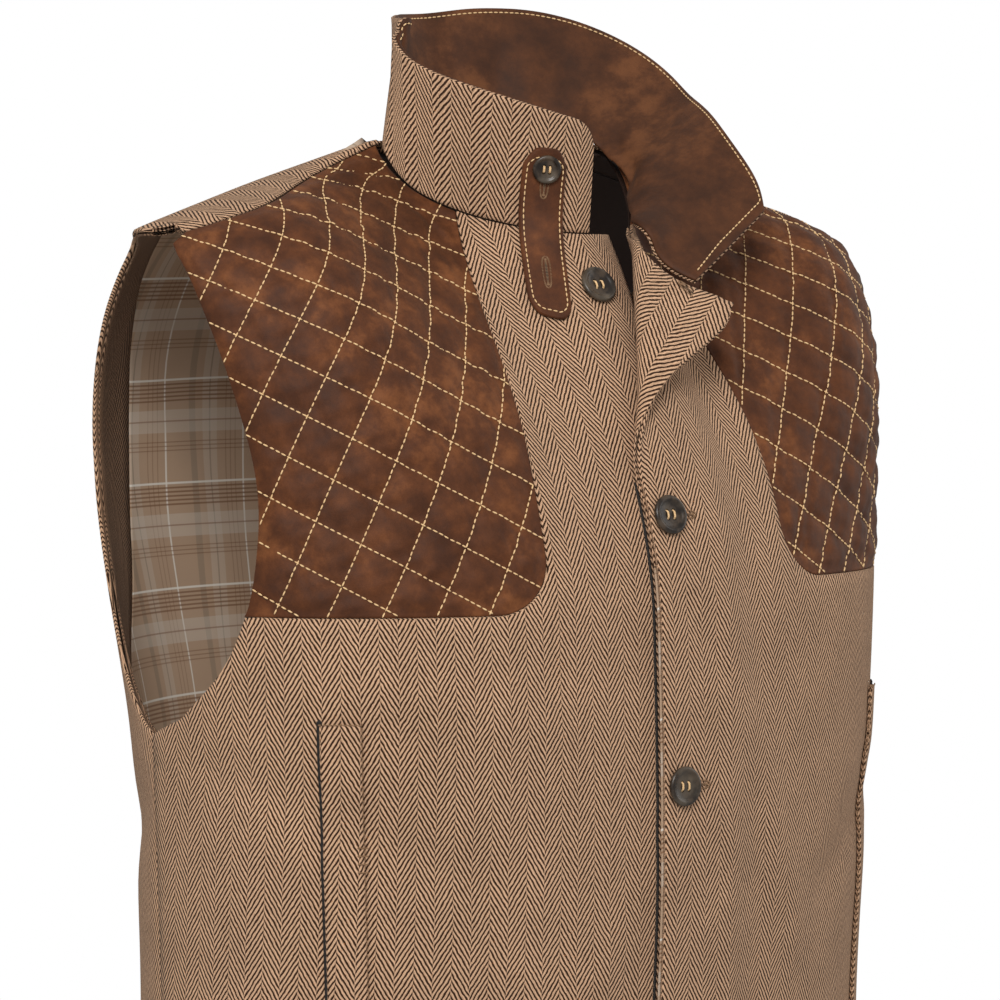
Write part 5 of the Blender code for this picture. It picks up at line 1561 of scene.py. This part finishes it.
collar_known, collar_line, *_ = collar_seam()
collar_length = runs(collar_line)
total = collar_length[-1]
ends = COLLAR_CORNER * (1 - np.cos(np.linspace(0, math.pi / 2, 9)))
ways = with_round_ends(ends, COLLAR_CORNER, total, 181)
numbers = np.interp(ways, collar_length, collar_known)
shares = np.linspace(0, 1, 27)[:, None]
tall = collar_tall(ways, total, collar_length, collar_known)
rises = shares * tall
numbers_grid = np.broadcast_to(numbers, rises.shape)
surface = softened(collar_points(numbers_grid, rises), numbers_grid, shares, 90)
normal = np.swapaxes(smooth_rows(np.swapaxes(grid_normals(surface), 0, 1), 2), 0, 1)
if np.dot(normal[13, 0], (0, -1, 0)) < 0:
    normal = -normal
surface = surface + normal * collar_crease(numbers_grid, np.broadcast_to(shares, rises.shape))[..., None]
collar_cloth = np.stack([np.broadcast_to(ways, rises.shape), rises], axis=-1)
sheets = [(surface, surface + normal * TWEED, collar_cloth)]
cut_from(stands_for(shell("collar_outer_cloth", sheets, TWEED_CLOTH), "collar_outer"), sheets)
behind = smooth((numbers_grid - 0.95) / 0.2) * smooth((3.05 - numbers_grid) / 0.2)
foot = np.maximum(NAPE_FOOT * behind, COLLAR_FOOT * np.exp(-(((numbers_grid - 3.0) / 0.16) ** 2)))
low_rises = rises - foot * (1 - shares) ** 3
leather = surface + collar_points(numbers_grid, low_rises) - collar_points(numbers_grid, rises)
sheets = [(leather - normal * (GAP + LEATHER), leather - normal * GAP, collar_cloth)]
cut_from(stands_for(shell("collar_inner_leather", sheets, COLLAR_LEATHER), "collar_inner"), sheets)


EDGE_STITCH = (0.0030, 0.0027, 0.00080)  # pitch, length and thickness
EDGE_INSET = 0.0026
END_STEPS = 30
STITCH_LIFT = 0.0002


def collar_edge(inset_by):
    """The path of the edge stitching, on the leather side, this far inside the edge."""
    way = with_round_ends(np.full(END_STEPS, inset_by), inset_by, total, 400)
    height = collar_tall(way, total, collar_length, collar_known) - inset_by
    height[:END_STEPS] *= np.linspace(0.1, 1, END_STEPS)
    height[-END_STEPS:] *= np.linspace(1, 0.1, END_STEPS)
    j = np.clip(height / collar_tall(way, total, collar_length, collar_known), 0, 1) * (len(shares) - 1)
    i = np.interp(way, ways, np.arange(len(ways)))
    low_j, low_i = np.minimum(j.astype(int), len(shares) - 2), np.minimum(i.astype(int), len(ways) - 2)
    s, t = (i - low_i)[:, None], (j - low_j)[:, None]
    skin = surface - normal * (GAP + LEATHER + STITCH_LIFT)
    near = skin[low_j, low_i] * (1 - s) + skin[low_j, low_i + 1] * s
    far = skin[low_j + 1, low_i] * (1 - s) + skin[low_j + 1, low_i + 1] * s
    return near * (1 - t) + far * t


sew("collar_stitching", [collar_edge(EDGE_INSET)], EDGE_STITCH, STITCH_THREAD)


# ---- Throat tab ----
# A leather tab from the right half of the collar down onto the front, edge-stitched, with two buttonholes.

TAB_X = (-0.0190, -0.0201, -0.0322)
TAB_WIDTH = 0.0245
TAB_ROUND = 0.72
TAB_CORNER = 0.008
TAB_ON_COLLAR = 0.042
TAB_THICK = 0.0022


def tab_centres():
    """The tab's skin next to the collar and the front: ways along it, and a row of points at each."""
    seam_x = collar_line[:40, 0]
    steps = [0.0, 0.002, 0.008, 0.018, 0.028, 0.038]
    drops = [0.004, 0.014, 0.024, 0.034, 0.042, 0.0475]
    total = TAB_ON_COLLAR + drops[-1]
    across = TAB_ROUND * TAB_WIDTH / 2 * np.linspace(-1, 1, 9)
    rows = []
    for way in steps + [TAB_ON_COLLAR + drop for drop in drops]:
        x = np.interp(way, (0, TAB_ON_COLLAR, total), TAB_X) + across
        if way < TAB_ON_COLLAR:
            rise = np.full(9, TAB_ON_COLLAR - way)
            numbers = np.interp(-x, -seam_x, collar_known[:40])
            here = collar_points(numbers, rise)
            beside = collar_points(numbers + 0.02, rise) - here
            above = collar_points(numbers, rise + 0.002) - here
            normal = unit(np.cross(above, beside))
            rows.append(here + normal * np.sign(-normal[:, 1:2]) * (TWEED + GAP))
        else:
            heights = neckline_height(-x) - (way - TAB_ON_COLLAR)
            rows.append(lay(turn_at(x, heights), heights, TWEED + GAP))
    ways = np.array(steps + [TAB_ON_COLLAR + drop for drop in drops])
    return ways, smooth_rows(np.array(rows), 3)


def tab_skin(ways_known, rows, ways, across):
    """Points of the tab at ways along it and metres across it."""
    slopes = np.gradient(rows, ways_known, axis=0)
    k = np.clip(np.searchsorted(ways_known, ways) - 1, 0, len(ways_known) - 2)
    span = (ways_known[k + 1] - ways_known[k])[:, None, None]
    t = (ways - ways_known[k])[:, None, None] / span
    along = rows[k] * (1 + 2 * t) * (1 - t) ** 2 + rows[k + 1] * t * t * (3 - 2 * t)
    along = along + slopes[k] * span * t * (1 - t) ** 2 - slopes[k + 1] * span * t * t * (1 - t)
    column = (across / (TAB_WIDTH / 2) + 1) * (rows.shape[1] - 1) / 2
    i = np.clip(column.astype(int), 0, rows.shape[1] - 2)
    s = (column - i)[..., None]
    j = np.arange(len(ways))[:, None]
    return along[j, i] * (1 - s) + along[j, i + 1] * s


tab_ways, tab_rows = tab_centres()
tab_length = tab_ways[-1]


def tab_half(way, corner, side_inset=0.0):
    near_end = np.minimum(corner, np.minimum(way - side_inset, tab_length - side_inset - way))
    half = TAB_WIDTH / 2 - side_inset
    return half - corner + np.sqrt(np.maximum(corner**2 - (corner - near_end) ** 2, 0))


bend = TAB_CORNER * (1 - np.cos(np.linspace(0, math.pi / 2, 8)))
ways_on_tab = with_round_ends(bend, TAB_CORNER, tab_length, 60)
across = tab_half(ways_on_tab, TAB_CORNER)[:, None] * np.linspace(-1, 1, 21)
inside_skin = tab_skin(tab_ways, tab_rows, ways_on_tab, across)
normal = grid_normals(inside_skin)
normal *= np.sign(-normal[..., 1:2])
inside_skin = inside_skin + normal * GAP
tab_cloth = np.stack([across, np.broadcast_to(ways_on_tab[:, None], across.shape)], axis=-1)
edge_fall = 0.0005 * (np.abs(np.linspace(-1, 1, 21)) ** 12)[None, :, None]
sheets = [(inside_skin, inside_skin + normal * (TAB_THICK - edge_fall), tab_cloth)]
cut_from(stands_for(shell("throat_tab_leather", sheets, PATCH_LEATHER), "throat_tab"), sheets)


def tab_point(way, x, lift):
    """A point on the tab's face, with its outward and upward ways."""
    row = np.array([way - 0.001, way, way + 0.001])
    points = tab_skin(tab_ways, tab_rows, row, np.broadcast_to([x - 0.001, x, x + 0.001], (3, 3)))
    up = unit(points[0, 1] - points[2, 1])
    out = unit(np.cross(points[1, 2] - points[1, 0], up))
    out = out * np.sign(-out[1])
    return points[1, 1] + out * (GAP + TAB_THICK + lift), out, up


TAB_INSET = 0.0023
tab_round = TAB_CORNER - TAB_INSET
bend = tab_round * (1 - np.cos(np.linspace(0, math.pi / 2, 9))) + TAB_INSET
loop_ways = with_round_ends(bend, TAB_CORNER, tab_length, 50)
half = tab_half(loop_ways, tab_round, TAB_INSET)
loop = [(w, h) for w, h in zip(loop_ways, half)] + [(w, -h) for w, h in zip(loop_ways[::-1], half[::-1])]
loop.append(loop[0])
path = np.array([tab_point(w, x, STITCH_LIFT)[0] for w, x in loop])
sew("tab_stitching", [path], EDGE_STITCH, STITCH_THREAD)


# ---- Pocket welts and half belt ----
# A folded tweed strip stands beside each pocket opening, and a half belt is sewn across the back's waist.

WELT_TOP_Z = -0.291
WELT_FOOT_Z = -0.468
WELT_TURN = math.radians(60.2)
WELT_WIDTH = 0.018
WELT_THICK = 0.0022
WELT_STAND = 0.0013
BELT_TURNS = (math.radians(117), math.radians(243))
BELT_TOP_Z = -0.449
BELT_FOOT_Z = -0.489
BELT_THICK = 0.0030
BELT_STAND = 0.0035

GIRTH = 0.195  # metres of cloth for each radian of turn at the pockets
BAR_Z = (-0.352, -0.356, -0.360, -0.364)
# Stitches: pitch, length and thickness.
OPENING_SHADE_LINE = {RIGHT: (0.0014, 0.0042, 0.0030), LEFT: (0.0014, 0.0042, 0.0019)}
TOP_STITCH = (0.0024, 0.0019, 0.0008)
FOLD_STITCH = (0.0024, 0.0020, 0.0009)
BAR_STITCH = (0.0010, 0.0016, 0.0008)

for side, name in ((RIGHT, "welt_right"), (LEFT, "welt_left")):
    turns = side * np.linspace(WELT_TURN, WELT_TURN + WELT_WIDTH / GIRTH, 9)
    turn, height = np.meshgrid(turns, np.linspace(WELT_TOP_Z, WELT_FOOT_Z, 61))
    places_here = np.stack([turn, height], axis=-1)
    low = TWEED + (WELT_STAND if side == RIGHT else GAP)
    sheets = [laid(places_here, lay, low, low + WELT_THICK)]
    cut_from(stands_for(shell(name + "_cloth", sheets, TWEED_CLOTH), name), sheets)
    heights = np.linspace(WELT_TOP_Z + 0.001, WELT_FOOT_Z - 0.001, 120)
    # The pocket opening is painted shade: a line of dark thread beside the welt, with no slit in the cloth.
    far_turn = side * (WELT_TURN + (WELT_WIDTH + 0.0006) / GIRTH)
    opening = lay(np.full(120, far_turn), heights, TWEED + 0.0004)
    sew(name + "_opening", [opening], OPENING_SHADE_LINE[side], PAINTED_SHADE)
    turns = side * (WELT_TURN + np.linspace(0.0, WELT_WIDTH, 12) / GIRTH)
    top = lay(turns, np.full(12, WELT_TOP_Z + 0.0006), low + WELT_THICK)
    sew(name + "_top", [top], TOP_STITCH, HOLE_THREAD)
    edge = lay(np.full(120, side * (WELT_TURN - 0.0004 / GIRTH)), heights, low + WELT_THICK * 0.55)
    sew(name + "_edge", [edge], FOLD_STITCH, HOLE_THREAD)
    bars = []
    for z in BAR_Z:
        turns = side * (WELT_TURN + np.linspace(-0.0016, 0.0022, 6) / GIRTH)
        bars.append(lay(turns, np.full(6, z), low + WELT_THICK + 0.0004))
    sew(name + "_bars", bars, BAR_STITCH, HOLE_THREAD)

turn, height = np.meshgrid(np.linspace(*BELT_TURNS, 101), np.linspace(BELT_TOP_Z, BELT_FOOT_Z, 13))
share = (turn - BELT_TURNS[0]) / (BELT_TURNS[1] - BELT_TURNS[0])
low = TWEED + GAP + BELT_STAND * smooth(share * 8) * smooth((1 - share) * 8)
belt = np.stack([turn, height], axis=-1)
sheets = [(lay(turn, height, low), lay(turn, height, low + BELT_THICK), cloth_place(belt, math.pi))]
cut_from(stands_for(shell("half_belt_cloth", sheets, TWEED_CLOTH), "half_belt"), sheets)


# ---- Buttons and buttonholes ----
# Turned horn buttons with a raised rim and four holes, sewn on with tan thread, and a worked buttonhole for
# each one that the left front or the throat tab closes on.

BUTTON_Z = (-0.0757, -0.1924, -0.328, -0.471, -0.614)
TOP_BUTTON_X = -0.0025
BUTTON_X = -0.006
BUTTON_SIZE = 0.0205
TAB_BUTTON_SIZE = 0.0150
HOLE_SIZE = 0.0019
HOLE_STAND = 0.0021
THREAD_THICK = 0.00055
HOLE_STITCH = (0.0012, 0.0012, 0.00045)  # pitch, length and thickness
SLIT_HALF = 0.00115

ROUND_PROFILE = (
    # shares of the radius: out from the axis, up from the back
    (0.0, 0.0),
    (0.70, 0.0),
    (0.90, 0.05),
    (0.98, 0.12),
    (1.0, 0.19),
    (0.97, 0.27),
    (0.91, 0.32),
    (0.83, 0.335),
    (0.75, 0.315),
    (0.69, 0.26),
    (0.60, 0.225),
    (0.30, 0.21),
    (0.0, 0.208),
)


def pose_at(point, normal, up):
    side_way = unit(np.cross(up, normal))
    pose = mathutils.Matrix.Identity(4)
    for row in range(3):
        pose[row] = (side_way[row], np.cross(normal, side_way)[row], normal[row], point[row])
    return pose


def fine_button(name, node, size, point, normal, up):
    """A turned button, its holes and its thread."""
    profile = bmesh.new()
    verts = [profile.verts.new((r * size / 2, 0, z * size / 2)) for r, z in ROUND_PROFILE]
    for a, b in zip(verts, verts[1:]):
        profile.edges.new((a, b))
    mesh = bpy.data.meshes.new(name)
    profile.to_mesh(mesh)
    profile.free()
    mesh.materials.append(HORN)
    button = bpy.data.objects.new(name, mesh)
    bpy.context.scene.collection.objects.link(button)
    turned = button.modifiers.new("turned", "SCREW")
    turned.steps = turned.render_steps = 48
    turned.use_merge_vertices = True
    turned.merge_threshold = 1e-5
    turned.use_normal_calculate = True
    reach = HOLE_STAND * size / BUTTON_SIZE
    holes = bmesh.new()
    for x, y in ((-1, -1), (1, -1), (-1, 1), (1, 1)):
        stand = mathutils.Matrix.Translation((x * reach, y * reach, 0))
        round_size = {"radius1": HOLE_SIZE / 2, "radius2": HOLE_SIZE / 2, "depth": size}
        bmesh.ops.create_cone(holes, cap_ends=True, segments=16, matrix=stand, **round_size)
    hole_mesh = bpy.data.meshes.new(name + "_holes")
    holes.to_mesh(hole_mesh)
    holes.free()
    cutter = bpy.data.objects.new(name + "_holes", hole_mesh)
    bpy.context.scene.collection.objects.link(cutter)
    cut = button.modifiers.new("holes", "BOOLEAN")
    cut.operation = "DIFFERENCE"
    cut.solver = "EXACT"
    cut.object = cutter
    kept(button)
    bpy.data.objects.remove(cutter)
    pose = pose_at(point, normal, up)
    button.data.transform(pose)
    button.data.set_sharp_from_angle(angle=math.radians(50))
    stands_for(button, node)
    face = size / 2 * 0.225
    bars = []
    for x in (-reach, reach):
        for aside in (-0.00035, 0.0, 0.00035):
            t = np.linspace(-1, 1, 7)
            local = np.stack([x + aside + 0 * t, t * reach, face + 0.0004 - 0.0009 * t**4], axis=1)
            bars.append(np.array([pose @ mathutils.Vector(p) for p in local]))
    sew(name + "_thread", bars, (reach * 0.45, reach * 0.75, THREAD_THICK), STITCH_THREAD)
    return button


def buttonhole(name, point, normal, up, length, thread):
    """A worked buttonhole: a ring of dense stitches round a dark slit, which is painted shade."""
    pose = pose_at(point, normal, up)
    t = np.linspace(0, 2 * math.pi, 61)
    half = length / 2
    keyhole = SLIT_HALF * np.cos(t) * (1 + 0.35 * np.maximum(np.sin(t), 0))
    ring = np.stack([keyhole, half * np.sin(t), 0 * t + 0.0001], axis=1)
    spokes = []
    for k in range(len(t) - 1):
        out = np.array((np.cos(t[k]) * half, np.sin(t[k]) * 0.0012, 0))
        out = out / max(np.linalg.norm(out), 1e-9) * 0.00085
        ends = [ring[k] - out, ring[k] + out]
        spokes.append(np.array([pose @ mathutils.Vector(p) for p in ends]))
    sew(name + "_work", spokes, HOLE_STITCH, thread)
    # The slit is painted shade: a flat dark lens on the cloth, with no hole through it.
    slit = bmesh.new()
    bmesh.ops.create_uvsphere(slit, u_segments=12, v_segments=8, radius=1.0)
    mesh = bpy.data.meshes.new(name + "_slit")
    slit.to_mesh(mesh)
    slit.free()
    size = mathutils.Matrix.Diagonal((0.00065, half * 0.93, 0.00022, 1))
    mesh.transform(pose @ size)
    mesh.materials.append(PAINTED_SHADE)
    mesh.shade_smooth()
    obj = bpy.data.objects.new(name + "_slit", mesh)
    bpy.context.scene.collection.objects.link(obj)
    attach(obj, "root")


for k, height in enumerate(BUTTON_Z):
    put = lay if k == 0 else lay_left
    turn = turn_at(TOP_BUTTON_X if k == 0 else BUTTON_X, height)
    point = put(turn, height, TWEED + GAP)
    across = put(turn + 0.02, height, TWEED) - put(turn - 0.02, height, TWEED)
    up = put(turn, height + 0.004, TWEED) - put(turn, height - 0.004, TWEED)
    normal = unit(np.cross(across, up))
    node = "button_%d" % (k + 1)
    fine_button(node + "_horn", node, BUTTON_SIZE, point, normal, up)
    if k > 0:
        hole = put(turn + 0.0085 / 0.14, height, TWEED + 0.0001)
        buttonhole(node + "_hole", hole, normal, unit(across), 0.0175, HOLE_THREAD)

# The turned-out corner has a buttonhole too, near its tip: three places along it, as turn and height.
slit = np.array(((-0.0129, -0.0516), (-0.0600, -0.0530), (-0.1077, -0.0550)))
points = lay_left(slit[:, 0], slit[:, 1], -INSIDE_GAP - FACING - 0.0001)
out = unit(points[1] - lay_left(slit[1, 0], slit[1, 1], 0.0))
buttonhole("corner_hole", points[1], out, unit(points[2] - points[0]), 0.0155, HOLE_THREAD)

point, out, up = tab_point(TAB_ON_COLLAR - 0.034, 0.0, 0.0005)
fine_button("tab_button_horn", "tab_button", TAB_BUTTON_SIZE, point, out, up)
for k, (way, size) in enumerate(((TAB_ON_COLLAR - 0.024, 0.013), (TAB_ON_COLLAR + 0.024, 0.0165))):
    point, out, up = tab_point(way, 0.0, 0.0)
    buttonhole("tab_hole_%d" % (k + 1), point, out, up, size, HOLE_THREAD)


# ---- Floor, light and camera ----
# A plain pale floor and a white backdrop all round that only the camera sees, a soft sky, one large soft lamp
# from the front left and a weak one from the right.

REACH = 30.0
FLOOR_Z = HEM_Z - 0.06


def staged(name, mesh, shade, glow):
    """A plain piece of the stage, which throws no light on the vest."""
    pale = bpy.data.materials.new(name)
    pale.use_nodes = True
    shader = pale.node_tree.nodes["Principled BSDF"]
    shader.inputs["Base Color"].default_value = (shade, shade, shade, 1)
    shader.inputs["Roughness"].default_value = 1.0
    shader.inputs["Specular IOR Level"].default_value = 0.0
    shader.inputs["Emission Color"].default_value = (1, 1, 1, 1)
    shader.inputs["Emission Strength"].default_value = glow
    mesh.materials.append(pale)
    obj = bpy.data.objects.new(name, mesh)
    bpy.context.scene.collection.objects.link(obj)
    obj.visible_diffuse = False
    obj.visible_glossy = False
    obj.visible_shadow = False
    return obj


floor_mesh = bpy.data.meshes.new("floor")
corners = [(x * REACH, y * REACH, FLOOR_Z) for x, y in ((-1, -1), (1, -1), (1, 1), (-1, 1))]
floor_mesh.from_pydata(corners, [], [(0, 1, 2, 3)])
staged("floor", floor_mesh, 0.0, 1.0)

round_mesh = bpy.data.meshes.new("backdrop")
ball = bmesh.new()
bmesh.ops.create_uvsphere(ball, u_segments=48, v_segments=24, radius=REACH * 0.9)
ball.to_mesh(round_mesh)
ball.free()
staged("backdrop", round_mesh, 0.0, 1.0)

sky = bpy.data.worlds.new("sky")
sky.use_nodes = True
sky.node_tree.nodes["Background"].inputs["Color"].default_value = (1, 1, 1, 1)
sky.node_tree.nodes["Background"].inputs["Strength"].default_value = 0.50
bpy.context.scene.world = sky

TARGET = mathutils.Vector((0.0, 0.0, -0.189))
LAMPS = (
    # name, place, size, power
    ("key", (-2.2, -2.2, 1.6), 1.4, 92.0),
    ("fill", (2.6, -1.2, 0.6), 2.0, 16.0),
)
for name, place, size, power in LAMPS:
    lamp = bpy.data.lights.new(name, "AREA")
    lamp.energy = power
    lamp.size = size
    light = bpy.data.objects.new(name, lamp)
    light.location = place
    light.rotation_euler = (TARGET - light.location).to_track_quat("-Z", "Y").to_euler()
    bpy.context.scene.collection.objects.link(light)

AZIMUTH, ELEVATION, DISTANCE, SEEN = math.radians(-40), math.radians(3), 3.0, 0.5263
back_way = mathutils.Vector((math.sin(AZIMUTH), -math.cos(AZIMUTH), 0)) * math.cos(ELEVATION)
back_way.z = math.sin(ELEVATION)
lens = bpy.data.cameras.new("camera")
lens.sensor_width = 36.0
lens.lens = 36.0 * DISTANCE / SEEN
camera = bpy.data.objects.new("camera", lens)
camera.location = TARGET + back_way * DISTANCE
camera.rotation_euler = (-back_way).to_track_quat("-Z", "Y").to_euler()
bpy.context.scene.collection.objects.link(camera)
bpy.context.scene.camera = camera
bpy.context.scene.view_settings.view_transform = "Standard"
